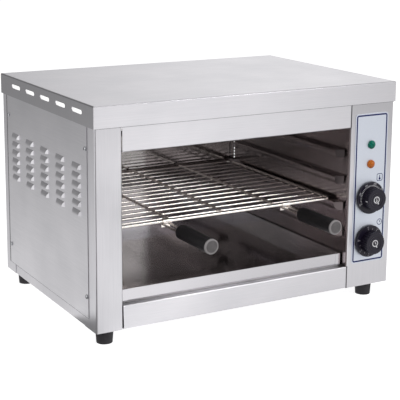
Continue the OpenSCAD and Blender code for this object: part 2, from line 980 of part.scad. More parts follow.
// Clips that hold the bulb on the right wall
module bulb_clips() {
    r = bulb_r + hole_gap;
    x1 = cavity_x1 - bulb_wall_gap;
    color("silver") for (f = [1 / 4, 3 / 4]) {
        from_corner(x1, bulb_y + capillary_bend_r + f * bulb_len, bulb_z) {
            difference() {
                union() {
                    along_y(bushing_r) circle(r + clip_t);
                    cube([bulb_wall_gap, bushing_r, r + clip_t]);
                }
                translate([0, -over, 0]) along_y(bushing_r + 2 * over) circle(r);
                translate([0, -over, 0]) cube([bulb_wall_gap - clip_t, bushing_r + 2 * over, r]);
            }
        }
    }
}

// Round outline with a flat towards the second axis
module d_outline(r) {
    intersection() {
        circle(r);
        translate([-2 * r, -2 * r]) square([4 * r, 3 * r - flat_h]);
    }
}

module control_shaft(z) {
    r = shaft_d / 2;
    from_corner(control_cx, -shaft_front, z) rotate([-90, 0, 0]) {
        linear_extrude(shaft_len) d_outline(r);
        translate([0, 0, shaft_len]) cylinder(r = r, h = skirt_y + shaft_back);
    }
}

module thermostat_shaft() {
    color("silver") control_shaft(thermostat_z);
}

module timer_shaft() {
    color("silver") control_shaft(timer_z);
}

// Round outline with flutes
module fluted_outline(r) {
    difference() {
        circle(r);
        for (a = [1:flute_count]) {
            rotate(a * 360 / flute_count) translate([r + flute_r / 3, 0]) circle(flute_r);
        }
    }
}

// Knob with a flat skirt, a fluted grip and a dished front
module knob(z) {
    grip_r = knob_d / 2;
    grip_h = knob_reach - skirt_y;
    skirt_r = skirt_d / 2;
    dish_r = grip_r - dish_inset;
    from_corner(control_cx, -skirt_y, z) rotate([90, 0, 0]) difference() {
        union() {
            rotate_extrude() polygon([
                [0, 0], [skirt_r, 0], [skirt_r, skirt_t - knob_bevel],
                [skirt_r - knob_bevel, skirt_t], [0, skirt_t]
            ]);
            intersection() {
                linear_extrude(grip_h) fluted_outline(grip_r);
                rotate_extrude() polygon([
                    [0, 0], [skirt_r, 0], [skirt_r, skirt_t], [grip_r + over, skirt_t],
                    [grip_r + over, grip_h - knob_bevel - over], [grip_r - knob_bevel, grip_h],
                    [dish_r, grip_h], [dish_r - knob_bevel, grip_h - knob_bevel],
                    [0, grip_h - knob_bevel]
                ]);
            }
        }
        translate([0, 0, -over]) {
            linear_extrude(knob_bore + over) mirror([0, 1]) d_outline(shaft_d / 2 + run_gap);
        }
    }
}

module thermostat_knob() {
    color("#2b2830") knob(thermostat_z);
}

module timer_knob() {
    color("#2b2830") knob(timer_z);
}

// Pilot lamps
lens_t = 2;
lens_rise = 4.2;
lamp_len = 22;
lamp_clip_t = 2.5;

module lamp_lens(z) {
    r = lens_d / 2;
    dome_r = (r * r + lens_rise * lens_rise) / (2 * lens_rise);
    from_corner(control_cx, -overlay_t, z) rotate([90, 0, 0]) {
        cylinder(r = r, h = lens_t);
        intersection() {
            translate([0, 0, lens_t + lens_rise - dome_r]) sphere(dome_r);
            translate([0, 0, lens_t / 2]) cylinder(r = r, h = lens_t + lens_rise);
        }
    }
}

module lamp_body(z) {
    from_corner(control_cx, -overlay_t, z) rotate([-90, 0, 0]) {
        cylinder(r = lamp_body_r, h = lamp_len);
        translate([0, 0, overlay_t + sheet_t]) {
            cylinder(r = lamp_body_r + lamp_clip_t, h = lamp_clip_t);
        }
        for (s = [-1, 1]) {
            translate([s * lamp_body_r / 2 - clip_t / 2, -lamp_clip_t / 2, lamp_len - over]) {
                cube([clip_t, lamp_clip_t, bushing_r]);
            }
        }
    }
}

module power_lamp_lens() {
    color("#1a7a60") lamp_lens(power_lamp_z);
}

module power_lamp_body() {
    color("white") lamp_body(power_lamp_z);
}

module heat_lamp_lens() {
    color("#c0682b") lamp_lens(heat_lamp_z);
}

module heat_lamp_body() {
    color("white") lamp_body(heat_lamp_z);
}

// Crumb tray ---------------------------------------------------------------------------

tray_tab_t = 0.6;

module crumb_tray() {
    x0 = post_w + tray_side_gap;
    x1 = cavity_x1 - tray_side_gap;
    w = x1 - x0;
    d = cavity_y1 - tray_back_gap - tray_front;
    z = cavity_z0 + rest_gap;
    color("silver") {
        from_corner(x0, tray_front, z) difference() {
            linear_extrude(tray_h) rounded_rect(w, d, fold_r);
            translate([0, 0, sheet_t]) linear_extrude(tray_h) translate([sheet_t, sheet_t]) {
                rounded_rect(w - 2 * sheet_t, d - 2 * sheet_t, inner_r);
            }
        }
        for (x = [x0 + fold_r, x1 - tray_tab_w]) {
            from_corner(x, tray_front - tray_tab_t, z) {
                cube([tray_tab_w - fold_r, tray_tab_t + sheet_t / 2, tray_h]);
            }
        }
    }
}

// Wire rack -----------------------------------------------------------------------------

grid_first = 16;
clip_r = frame_wire / 2 + hole_gap;
clip_sheet = 1.5;
clip_foot = 5.5;

// Straight wire from p, along X or Y
module wire_x(p, length, d) {
    translate(p) rotate([0, 90, 0]) cylinder(d = d, h = length);
}

module wire_y(p, length, d) {
    translate(p) rotate([-90, 0, 0]) cylinder(d = d, h = length);
}

// Quarter bend about p, turned by angle
module wire_bend(p, r, d, angle) {
    translate(p) rotate(angle) rotate_extrude(angle = 90) translate([r, 0]) circle(d = d);
}

module rack_frame() {
    w = rack_x1 - rack_x0;
    d = rack_y1 - rack_front;
    r = frame_bend_r;
    wire_x([r, 0, 0], w - 2 * r, frame_wire);
    wire_x([r, d, 0], w - 2 * r, frame_wire);
    wire_y([0, r, 0], d - 2 * r, frame_wire);
    wire_y([w, r, 0], d - 2 * r, frame_wire);
    wire_bend([r, r, 0], r, frame_wire, 180);
    wire_bend([w - r, r, 0], r, frame_wire, 270);
    wire_bend([w - r, d - r, 0], r, frame_wire, 0);
    wire_bend([r, d - r, 0], r, frame_wire, 90);
}

// Wires across the rack, whose ends turn back along the frame
module rack_grid() {
    w = rack_x1 - rack_x0;
    weld = grid_wire / 4;
    edge = (frame_wire + grid_wire) / 2 - weld;
    r = grid_bend_r;
    for (i = [0:grid_count - 1]) {
        y = grid_first + i * grid_pitch;
        wire_x([edge + r, y, 0], w - 2 * (edge + r), grid_wire);
        wire_bend([edge + r, y + r, 0], r, grid_wire, 180);
        wire_bend([w - edge - r, y + r, 0], r, grid_wire, 270);
    }
}

// Wires from front to back, lying on the grid and clear of the handles' clips
module rack_cross() {
    middle = (rack_x1 - rack_x0) / 2 - cross_left;
    rise = (grid_wire + cross_wire) / 2 - grid_wire / 5;
    front = clip_r + clip_sheet + rest_gap;
    for (i = [0:cross_count - 1]) {
        x = middle + (i - (cross_count - 1) / 2) * cross_pitch;
        wire_y([x, front, rise], rack_y1 - rack_front - front, cross_wire);
    }
}

module wire_rack() {
    color("lightgray") from_corner(rack_x0, rack_front, rack_z) {
        rack_frame();
        rack_grid();
        rack_cross();
    }
}

// Handles --------------------------------------------------------------------------------

// Clip round the frame wire with two wires that run into the grip
module handle_shank(side) {
    reach = rack_front + grip_stand + shank_depth;
    ring_r = clip_r + clip_sheet;
    color("silver") from_corner(handle_cx + side * handle_spacing / 2, 0, 0) {
        difference() {
            union() {
                translate([-clip_w / 2, rack_front, rack_z]) along_x(clip_w) circle(ring_r);
                translate([-clip_w / 2, rack_front, shank_z - clip_foot]) {
                    cube([clip_w, ring_r, clip_foot + shank_drop]);
                }
            }
            translate([-clip_w / 2 - over, rack_front, rack_z]) {
                along_x(clip_w + 2 * over) circle(clip_r);
            }
            translate([-clip_w / 2 - over, rack_front - over, shank_z - clip_foot - over]) {
                cube([clip_w + 2 * over, ring_r + over - clip_sheet, clip_foot + shank_drop - clip_r]);
            }
        }
        for (s = [-1, 1]) {
            wire_y([s * shank_spacing / 2, rack_front - reach, shank_z],
                reach + ring_r - clip_sheet / 2, shank_wire);
        }
    }
}

module left_handle_shank() {
    handle_shank(-1);
}

module right_handle_shank() {
    handle_shank(1);
}

grip_edge = 1.2;
cap_rim = 2.4;

module handle_grip(side) {
    r = grip_d / 2;
    color("#1d1c20") from_corner(handle_cx + side * handle_spacing / 2, -grip_stand, shank_z) {
        difference() {
            rotate([90, 0, 0]) rotate_extrude() polygon([
                [0, 0], [r - grip_edge, 0], [r, grip_edge], [r, grip_len], [0, grip_len]
            ]);
            for (s = [-1, 1]) {
                wire_y([s * shank_spacing / 2, -shank_depth - over / 2, 0],
                    shank_depth + 2 * over, shank_wire + 2 * run_gap);
            }
        }
    }
}

module left_grip() {
    handle_grip(-1);
}

module right_grip() {
    handle_grip(1);
}

// End cap with a raised rim
module grip_cap(side) {
    r = grip_d / 2;
    dish = cap_t / 3;
    color("gray") from_corner(handle_cx + side * handle_spacing / 2, -grip_stand - grip_len, shank_z) {
        rotate([90, 0, 0]) rotate_extrude() polygon([
            [0, 0], [r, 0], [r, cap_t - dish], [r - dish, cap_t], [r - cap_rim, cap_t],
            [r - cap_rim - dish, cap_t - dish], [0, cap_t - dish]
        ]);
    }
}

module left_grip_cap() {
    grip_cap(-1);
}

module right_grip_cap() {
    grip_cap(1);
}

// Feet -------------------------------------------------------------------------------------

module foot(place) {
    color("#2a272c") from_corner(place[0], place[1], -foot_h) difference() {
        cylinder(d1 = foot_low_d, d2 = foot_d, h = foot_h);
        translate([0, 0, -over]) cylinder(r = foot_recess_r, h = foot_recess_d + over);
        translate([0, 0, -over]) cylinder(r = foot_screw_r + hole_gap, h = foot_h + 2 * over);
    }
}

module foot_front_left() {
    foot(foot_places()[0]);
}

module foot_front_right() {
    foot(foot_places()[1]);
}

module foot_rear_left() {
    foot(foot_places()[2]);
}

module foot_rear_right() {
    foot(foot_places()[3]);
}

module foot_screws() {
    color("silver") for (p = foot_places()) {
        from_corner(p[0], p[1], foot_recess_d - foot_h) {
            mirror([0, 0, 1]) pan_screw(foot_screw_r, foot_h - foot_recess_d + sheet_t + nut_t + over);
        }
    }
}

module foot_nuts() {
    color("silver") for (p = foot_places()) {
        from_corner(p[0], p[1], sheet_t) difference() {
            cylinder(r = nut_r, h = nut_t, $fn = 6);
            translate([0, 0, -over]) cylinder(r = foot_screw_r + run_gap, h = nut_t + 2 * over);
        }
    }
}

// Screws ------------------------------------------------------------------------------------

module side_screw_group() {
    for (s = side_screws) {
        from_corner(-sheet_t, s[0], s[1]) rotate([0, -90, 0]) pan_screw(screw_r, screw_len);
    }
}

module left_panel_screws() {
    color("silver") side_screw_group();
}

module right_panel_screws() {
    color("silver") mirror([1, 0, 0]) side_screw_group();
}

module rear_screws() {
    color("silver") {
        for (x = [rear_screw_inset, housing_w / 2, housing_w - rear_screw_inset]) {
            from_corner(x, housing_d, rear_screw_low) rotate([-90, 0, 0]) {
                pan_screw(screw_r, screw_len);
            }
        }
        for (x = [lid_screw_inset, housing_w - lid_screw_inset]) {
            from_corner(x, housing_d + lid_overhang, housing_h + vent_rise) rotate([-90, 0, 0]) {
                pan_screw(screw_r, screw_len + lid_overhang);
            }
        }
    }
}

// Mains inlet -----------------------------------------------------------------------------------

block_size = [24, 62, 18];
block_ways = 5;
block_gap = 62;

module terminal_block() {
    color("white") from_corner(housing_w - gland_inset - block_size[0] / 2,
            housing_d - sheet_t - block_gap - block_size[1], sheet_t) difference() {
        cube(block_size);
        for (i = [0:block_ways - 1]) {
            translate([-over, (i + 0.5) * block_size[1] / block_ways, block_size[2] / 2]) {
                rotate([0, 90, 0]) cylinder(r = foot_screw_r, h = block_size[0] / 3 + over);
            }
            translate([block_size[0] * 2 / 3, (i + 0.5) * block_size[1] / block_ways,
                    block_size[2] / 2]) {
                rotate([0, 90, 0]) cylinder(r = foot_screw_r, h = block_size[0] / 3 + over);
            }
        }
    }
}

// Cord gland: flange against the back, thread through it and a domed nose
module cord_gland() {
    color("#2a272c") from_corner(housing_w - gland_inset, housing_d, gland_z) rotate([-90, 0, 0]) {
        difference() {
            union() {
                rotate_extrude() polygon([
                    [0, -gland_inner], [gland_thread_r, -gland_inner], [gland_thread_r, 0],
                    [gland_body_r, 0], [gland_body_r, gland_out - gland_nose_len],
                    [gland_nose_r, gland_out], [0, gland_out]
                ]);
                cylinder(r = gland_nut_r, h = gland_flange_t, $fn = 6);
            }
            translate([0, 0, -gland_inner - over]) {
                cylinder(r = gland_bore_r, h = gland_inner + gland_out + 2 * over);
            }
        }
    }
}

module gland_nut() {
    color("#2a272c") from_corner(housing_w - gland_inset, housing_d - sheet_t, gland_z) {
        rotate([90, 0, 0]) difference() {
            cylinder(r = gland_nut_r, h = gland_flange_t, $fn = 6);
            translate([0, 0, -over]) {
                cylinder(r = gland_thread_r + run_gap, h = gland_flange_t + 2 * over);
            }
        }
    }
}

top_cover();
left_post();
upper_fascia();
lower_front_panel();
control_panel();
base_plate();
rear_panel();
left_side_panel();
right_side_panel();
cavity_left_wall();
cavity_right_wall();
cavity_back();
cavity_floor();
cavity_ceiling();
heating_element_front();
heating_element_rear();
element_supports();
insulation_board();
heat_shield();
thermostat_body();
thermostat_bulb();
bulb_clips();
thermostat_shaft();
thermostat_knob();
timer_body();
timer_shaft();
timer_knob();
control_overlay();
power_lamp_lens();
power_lamp_body();
heat_lamp_lens();
heat_lamp_body();
crumb_tray();
wire_rack();
left_handle_shank();
right_handle_shank();
left_grip();
right_grip();
left_grip_cap();
right_grip_cap();
foot_front_left();
foot_front_right();
foot_rear_left();
foot_rear_right();
foot_screws();
foot_nuts();
left_panel_screws();
right_panel_screws();
rear_screws();
terminal_block();
cord_gland();
gland_nut();
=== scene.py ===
import math

import bmesh
import bpy
from mathutils import Matrix, Vector


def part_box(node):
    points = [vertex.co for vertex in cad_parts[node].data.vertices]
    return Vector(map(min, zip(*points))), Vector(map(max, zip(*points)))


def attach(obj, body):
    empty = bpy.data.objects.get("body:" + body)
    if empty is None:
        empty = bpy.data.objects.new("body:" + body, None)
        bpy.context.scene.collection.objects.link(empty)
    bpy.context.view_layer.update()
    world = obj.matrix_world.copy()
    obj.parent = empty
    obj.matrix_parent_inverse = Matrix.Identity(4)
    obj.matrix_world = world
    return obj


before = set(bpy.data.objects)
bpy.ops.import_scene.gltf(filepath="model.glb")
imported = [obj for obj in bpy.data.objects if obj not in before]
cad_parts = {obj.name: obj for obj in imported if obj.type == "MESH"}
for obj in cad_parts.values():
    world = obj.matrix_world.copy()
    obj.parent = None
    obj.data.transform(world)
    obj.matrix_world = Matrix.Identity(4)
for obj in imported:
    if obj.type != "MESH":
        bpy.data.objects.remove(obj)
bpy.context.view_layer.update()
mm = 0.001
print("frame loaded:", len(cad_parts), "nodes")

# Helpers

axes = "xyz"

# Sockets of the Mix node, which has a pair of inputs for numbers, one for vectors and one for colours
mixFactor = 0
numberA, numberB = 2, 3
vectorA, vectorB, vectorOut = 4, 5, 1
colourA, colourB, colourOut = 6, 7, 2


# sRGB hex to the linear colour that the shaders take
def hexColour(text):
    channels = [int(text[i:i + 2], 16) / 255 for i in (1, 3, 5)]
    linear = [value / 12.92 if value <= 0.04045 else ((value + 0.055) / 1.055) ** 2.4 for value in channels]
    return (*linear, 1)


white = hexColour("#ffffff")


# One shader node: settings are its own properties, inputs holds plain values and sockets to link from
def addNode(tree, kind, inputs=None, **settings):
    node = tree.nodes.new("ShaderNode" + kind)
    for name, value in settings.items():
        setattr(node, name, value)
    for key, value in (inputs or {}).items():
        if isinstance(value, bpy.types.NodeSocket):
            tree.links.new(value, node.inputs[key])
        else:
            node.inputs[key].default_value = value
    return node


# A material that holds one Principled shader with these constants
def startMaterial(name, constants):
    material = bpy.data.materials.new(name)
    material.use_nodes = True
    tree = material.node_tree
    tree.nodes.clear()
    shader = addNode(tree, "BsdfPrincipled", constants)
    addNode(tree, "OutputMaterial", {"Surface": shader.outputs["BSDF"]})
    return material, tree, shader


def feedShader(tree, shader, sources):
    for socket, source in sources.items():
        tree.links.new(source, shader.inputs[socket])


# Scale of a pattern whose cells have this size in millimetres
def cellScale(cellMm):
    return 1 / (cellMm * mm)


# Materials

# Stainless 430 sheet, brushed with a 180 grit belt: fine straight lines that stretch the reflections across
# them, and a satin that stays even over a whole sheet. The real lines are 0.1 mm apart, too fine to show,
# so they are drawn about 1 mm apart
brushedSheet = {
    "light": "#d9d7db",
    "dark": "#cecdd1",
    "streaksFrom": 0.7,
    "streaksTo": 1.3,
    "roughness": 0.3,
    "roughnessSpread": 0.07,
    "anisotropy": 0.62,
    "lineMm": 0.9,
    "lineLengthMm": 70,
    "lineDetail": 3,
    "lineRaggedness": 0.65,
    "bumpStrength": 0.05,
    "bumpMm": 0.05,
    "smudgeMm": 90,
    "smudgeDetail": 2,
    # Painted shade on turned, upper and folded faces: 1 leaves them as they are
    "turnedShade": 1.0,
    "upShade": 1.0,
    "foldShade": 1.0,
}

# How far a face's normal points along the grain where the face counts as turned, and up or to the front
# where it counts as an upper face, a fold or a front
faceLimits = {"turned": 0.8, "up": 0.9, "foldMiddle": 0.55, "foldReach": 0.4, "front": -0.6}


# grain is the direction of the brushing; turned is its direction on faces that point along grain,
# where a folded sheet carries its lines over the edge
def makeBrushedSteel(name, spec, grain, turned):
    material, tree, shader = startMaterial(name, {"Metallic": 1, "Anisotropic": spec["anisotropy"]})
    place = addNode(tree, "TexCoord")
    facing = addNode(tree, "SeparateXYZ", {0: place.outputs["Normal"]})
    alongGrain = addNode(tree, "Math", {0: facing.outputs[axes.index(grain)]}, operation="ABSOLUTE")
    isTurned = addNode(tree, "Math", {0: alongGrain.outputs[0], 1: faceLimits["turned"]},
                       operation="GREATER_THAN")

    # Streaks along the grain of each face, over wide and faint smudges
    streakPlaces = []
    for direction in (grain, turned):
        cell = [spec["lineLengthMm"] if axis == direction else spec["lineMm"] for axis in axes]
        streakPlaces.append(addNode(
            tree, "VectorMath", {0: place.outputs["Object"], 1: [cellScale(side) for side in cell]},
            operation="MULTIPLY"))
    streakPlace = addNode(tree, "Mix", {
        mixFactor: isTurned.outputs[0], vectorA: streakPlaces[0].outputs[0],
        vectorB: streakPlaces[1].outputs[0]}, data_type="VECTOR")
    streaks = addNode(tree, "TexNoise", {
        "Vector": streakPlace.outputs[vectorOut], "Scale": 1, "Detail": spec["lineDetail"],
        "Roughness": spec["lineRaggedness"]})
    smudges = addNode(tree, "TexNoise", {
        "Vector": place.outputs["Object"], "Scale": cellScale(spec["smudgeMm"]),
        "Detail": spec["smudgeDetail"]})
    both = addNode(tree, "Math", {0: streaks.outputs[0], 1: smudges.outputs[0]}, operation="ADD")
    amount = addNode(tree, "MapRange", {
        "Value": both.outputs[0], "From Min": spec["streaksFrom"], "From Max": spec["streaksTo"]})
    colour = addNode(tree, "Mix", {
        mixFactor: amount.outputs[0], colourA: hexColour(spec["dark"]),
        colourB: hexColour(spec["light"])}, data_type="RGBA")

    # Faces that are turned, that look up or that are folds can be painted darker by the spec: painted shade
    isUp = addNode(tree, "Math", {0: facing.outputs["Z"], 1: faceLimits["up"]}, operation="GREATER_THAN")
    isFold = addNode(tree, "Math", {
        0: facing.outputs["Z"], 1: faceLimits["foldMiddle"], 2: faceLimits["foldReach"]},
        operation="COMPARE")
    tone = 1.0
    for isThere, part in ((isTurned, "turnedShade"), (isUp, "upShade"), (isFold, "foldShade")):
        partTone = addNode(tree, "MapRange", {
            "Value": isThere.outputs[0], "To Min": 1.0, "To Max": spec[part]})
        tone = addNode(tree, "Math", {0: partTone.outputs[0], 1: tone}, operation="MULTIPLY").outputs[0]
    toned = addNode(tree, "VectorMath", {0: colour.outputs[colourOut], "Scale": tone}, operation="SCALE")

    rough = addNode(tree, "MapRange", {
        "Value": amount.outputs[0], "To Min": spec["roughness"] + spec["roughnessSpread"],
        "To Max": spec["roughness"]})
    bump = addNode(tree, "Bump", {
        "Strength": spec["bumpStrength"], "Distance": spec["bumpMm"] * mm, "Height": streaks.outputs[0]})

    # The reflections stretch across the lines
    grainVectors = [[float(axis == direction) for axis in axes] for direction in (grain, turned)]
    grainHere = addNode(tree, "Mix", {
        mixFactor: isTurned.outputs[0], vectorA: grainVectors[0], vectorB: grainVectors[1]},
        data_type="VECTOR")
    acrossGrain = addNode(tree, "VectorMath", {
        0: grainHere.outputs[vectorOut], 1: place.outputs["Normal"]}, operation="CROSS_PRODUCT")
    feedShader(tree, shader, {
        "Base Color": toned.outputs[0], "Roughness": rough.outputs[0], "Normal": bump.outputs[0],
        "Tangent": acrossGrain.outputs[0]})
    return material


alongSteel = makeBrushedSteel("brushedStainlessAlong", brushedSheet, "x", "z")
# The lid's side skirts are brushed upright; they and its folds are painted darker, a painted shade that on
# the folds dims the lamps' highlight
lidSheet = {**brushedSheet, "turnedShade": 0.66, "foldShade": 0.68}
lidSteel = makeBrushedSteel("brushedStainlessLid", lidSheet, "x", "z")
# The ledge of the front panel lies under the tray's flange, and its upper faces are painted darker: a painted
# shade
ledgeSheet = {**brushedSheet, "upShade": 0.36}
ledgeSteel = makeBrushedSteel("brushedStainlessLedge", ledgeSheet, "x", "z")
# The post and the control panel are brushed upright
postSteel = makeBrushedSteel("brushedStainlessUpright", brushedSheet, "z", "x")
# The side panels are brushed from front to back with a worn belt: shallower lines
sideSheet = {**brushedSheet, "bumpStrength": 0.02}
sideSteel = makeBrushedSteel("brushedStainlessFrontToBack", sideSheet, "y", "z")

# Stainless sheet with a bright annealed surface: nearly a mirror, greyed and browned by the heat, with
# faint wiping marks from front to back
brightSheet = {
    "clean": "#d0cccb",
    "heated": "#bcb6b5",
    "roughness": 0.05,
    "hazeRoughness": 0.18,
    "hazeFrom": 0.12,
    "hazeTo": 0.42,
    "hazeMm": 60,
    "hazeDetail": 4,
    "hazeRaggedness": 0.6,
    "wipeMm": 1.5,
    "wipeLengthMm": 45,
    "wipeDetail": 2,
    # The colour of faces that look to the front: a painted shade
    "front": "#c2bebd",
}

# The side walls are rougher from the pressing of their rails, and their faces that look to the front, the
# rails'
# ends among them, are painted dark: a painted shade
wallSheet = {
    **brightSheet,
    "clean": "#bdb5b6",
    "heated": "#a89fa0",
    "roughness": 0.15,
    "hazeRoughness": 0.19,
    "front": "#6b6263",
}

# The tray is of the same sheet, washed and scraped: whiter, and its mirror is more blurred
traySheet = {
    **brightSheet,
    "clean": "#e4e2e4",
    "heated": "#d8d5d7",
    "roughness": 0.09,
    "hazeRoughness": 0.11,
    "hazeMm": 120,
    "wipeMm": 4,
    "wipeLengthMm": 90,
    # The front of the flange is painted darker: a painted shade
    "front": "#c6c4c8",
}


def makeBrightSteel(name, spec):
    material, tree, shader = startMaterial(name, {"Metallic": 1})
    place = addNode(tree, "TexCoord")
    haze = addNode(tree, "TexNoise", {
        "Vector": place.outputs["Object"], "Scale": cellScale(spec["hazeMm"]),
        "Detail": spec["hazeDetail"], "Roughness": spec["hazeRaggedness"]})
    wipeCell = (spec["wipeMm"], spec["wipeLengthMm"], spec["wipeMm"])
    wipePlace = addNode(tree, "VectorMath", {
        0: place.outputs["Object"], 1: [cellScale(side) for side in wipeCell]}, operation="MULTIPLY")
    wipes = addNode(tree, "TexNoise", {
        "Vector": wipePlace.outputs[0], "Scale": 1, "Detail": spec["wipeDetail"]})
    colour = addNode(tree, "Mix", {
        mixFactor: haze.outputs[0], colourA: hexColour(spec["clean"]),
        colourB: hexColour(spec["heated"])}, data_type="RGBA")
    # Faces that look to the front take the front colour: a painted shade
    facing = addNode(tree, "SeparateXYZ", {0: place.outputs["Normal"]})
    isFront = addNode(tree, "Math", {0: facing.outputs["Y"], 1: faceLimits["front"]},
                      operation="LESS_THAN")
    toned = addNode(tree, "Mix", {
        mixFactor: isFront.outputs[0], colourA: colour.outputs[colourOut],
        colourB: hexColour(spec["front"])}, data_type="RGBA")
    both = addNode(tree, "Math", {0: haze.outputs[0], 1: wipes.outputs[0]}, operation="MULTIPLY")
    rough = addNode(tree, "MapRange", {
        "Value": both.outputs[0], "From Min": spec["hazeFrom"], "From Max": spec["hazeTo"],
        "To Min": spec["roughness"], "To Max": spec["hazeRoughness"]})
    feedShader(tree, shader, {"Base Color": toned.outputs[colourOut], "Roughness": rough.outputs[0]})
    return material


cavitySteel = makeBrightSteel("brightAnnealedStainless", brightSheet)
wallSteel = makeBrightSteel("pressedWallStainless", wallSheet)
traySteel = makeBrightSteel("polishedTrayStainless", traySheet)

fittingSurface = {"grainDetail": 3, "grainRaggedness": 0.6, "bumpStrength": 0.15, "bumpMm": 0.02}


# Metal stock and fittings: plated, drawn or pressed, with a little unevenness in the gloss
def makeFittingMetal(name, spec):
    material, tree, shader = startMaterial(name, {"Metallic": 1})
    place = addNode(tree, "TexCoord")
    grain = addNode(tree, "TexNoise", {
        "Vector": place.outputs["Object"], "Scale": cellScale(spec["grainMm"]),
        "Detail": fittingSurface["grainDetail"], "Roughness": fittingSurface["grainRaggedness"]})
    colour = addNode(tree, "Mix", {
        mixFactor: grain.outputs[0], colourA: hexColour(spec["dark"]),
        colourB: hexColour(spec["light"])}, data_type="RGBA")
    rough = addNode(tree, "MapRange", {
        "Value": grain.outputs[0], "To Min": spec["roughness"] + spec["spread"],
        "To Max": spec["roughness"]})
    bump = addNode(tree, "Bump", {
        "Strength": fittingSurface["bumpStrength"], "Distance": fittingSurface["bumpMm"] * mm,
        "Height": grain.outputs[0]})
    feedShader(tree, shader, {
        "Base Color": colour.outputs[colourOut], "Roughness": rough.outputs[0],
        "Normal": bump.outputs[0]})
    return material


# Chrome on drawn wire, a little warm from use
wireFinish = {"light": "#f1ece8", "dark": "#dcd5d0", "roughness": 0.12, "spread": 0.06, "grainMm": 30}
chromedWire = makeFittingMetal("chromedSteelWire", wireFinish)
# Zinc plating: duller than chrome, with a faint spangle
zincFinish = {"light": "#c4c5c8", "dark": "#9fa0a4", "roughness": 0.28, "spread": 0.15, "grainMm": 1.5}
zincPlate = makeFittingMetal("zincPlatedSteel", zincFinish)
# Nickel alloy sheath of the heating rods after many heats: dark, scaled and nearly dull
sheathFinish = {"light": "#6a625c", "dark": "#3f3a37", "roughness": 0.5, "spread": 0.2, "grainMm": 3}
heatedSheath = makeFittingMetal("oxidisedNickelAlloy", sheathFinish)
# Drawn copper, gone brown in the warmth
copperFinish = {"light": "#b87a56", "dark": "#8a5638", "roughness": 0.3, "spread": 0.15, "grainMm": 4}
drawnCopper = makeFittingMetal("drawnCopper", copperFinish)
# Pressed aluminium: pale, with a soft grey gloss
caseFinish = {"light": "#c8c9cc", "dark": "#aeb0b4", "roughness": 0.36, "spread": 0.1, "grainMm": 3}
casePlate = makeFittingMetal("pressedAluminiumCase", caseFinish)
# Anodised aluminium plate with a cool silver satin; its fine etched surface scatters what it reflects
overlayFinish = {"light": "#dde1ea", "dark": "#d0d5df", "roughness": 0.5, "spread": 0.06, "grainMm": 1.2}
anodisedPlate = makeFittingMetal("anodisedAluminium", overlayFinish)

mouldedSurface = {"cloudMm": 8, "cloudDetail": 3, "grainDetail": 2, "depthOverWidth": 0.25}


# Moulded plastics, rubber, pressed fibre and inks: a colour with slight clouds in it and a fine surface grain
def makeMoulded(name, spec):
    material, tree, shader = startMaterial(name, spec.get("shader", {}))
    place = addNode(tree, "TexCoord")
    clouds = addNode(tree, "TexNoise", {
        "Vector": place.outputs["Object"], "Scale": cellScale(mouldedSurface["cloudMm"]),
        "Detail": mouldedSurface["cloudDetail"]})
    grain = addNode(tree, "TexNoise", {
        "Vector": place.outputs["Object"], "Scale": cellScale(spec["grainMm"]),
        "Detail": mouldedSurface["grainDetail"]})
    colour = addNode(tree, "Mix", {
        mixFactor: clouds.outputs[0], colourA: hexColour(spec["dark"]),
        colourB: hexColour(spec["light"])}, data_type="RGBA")
    rough = addNode(tree, "MapRange", {
        "Value": clouds.outputs[0], "To Min": spec["roughness"] + spec["spread"],
        "To Max": spec["roughness"]})
    bump = addNode(tree, "Bump", {
        "Strength": spec["grainStrength"],
        "Distance": spec["grainMm"] * mm * mouldedSurface["depthOverWidth"],
        "Height": grain.outputs[0]})
    feedShader(tree, shader, {
        "Base Color": colour.outputs[colourOut], "Roughness": rough.outputs[0],
        "Normal": bump.outputs[0]})
    return material


# Pressed ceramic fibre: white, chalky, with a felted surface. It glows a little, though it is no lamp:
# painted light, so that it shows white through the vents
fibreFinish = {
    "light": "#f4f3f0", "dark": "#dddbd6", "roughness": 0.9, "spread": 0.1,
    "grainMm": 1.2, "grainStrength": 0.6,
    "shader": {"Emission Color": white, "Emission Strength": 0.75},
}
ceramicFibre = makeMoulded("pressedCeramicFibre", fibreFinish)
# Phenolic moulding, black: semi-gloss from the mould, greyed a little by handling
knobFinish = {
    "light": "#1f1929", "dark": "#131020", "roughness": 0.26, "spread": 0.12,
    "grainMm": 0.9, "grainStrength": 0.1,
    "shader": {"Specular IOR Level": 0.35},
}
blackPhenolic = makeMoulded("blackPhenolic", knobFinish)
# The grips are the same phenolic with a satin mould
gripFinish = {
    "light": "#1b191b", "dark": "#0f0e10", "roughness": 0.42, "spread": 0.12,
    "grainMm": 0.7, "grainStrength": 0.2,
    "shader": {"Specular IOR Level": 0.4},
}
satinPhenolic = makeMoulded("satinPhenolic", gripFinish)
# Grey nylon: satin, and coloured lighter along its rim
capFinish = {
    "light": "#6c6869", "dark": "#454243", "roughness": 0.4, "spread": 0.15,
    "grainMm": 1, "grainStrength": 0.3,
    "rim": "#918d8e", "rimFrom": 0.36, "rimTo": 0.44,
}
greyNylon = makeMoulded("greyNylonCap", capFinish)
# Moulded rubber: dark, dull and slightly pitted
rubberFinish = {
    "light": "#2e2b30", "dark": "#1c1a1e", "roughness": 0.6, "spread": 0.2,
    "grainMm": 0.8, "grainStrength": 0.5,
}
footRubber = makeMoulded("mouldedRubber", rubberFinish)
# Phenolic in its natural tan, filled with mineral: dull
tanFinish = {
    "light": "#b99c70", "dark": "#a0845c", "roughness": 0.5, "spread": 0.15,
    "grainMm": 1, "grainStrength": 0.3,
}
tanPhenolic = makeMoulded("tanPhenolicCase", tanFinish)
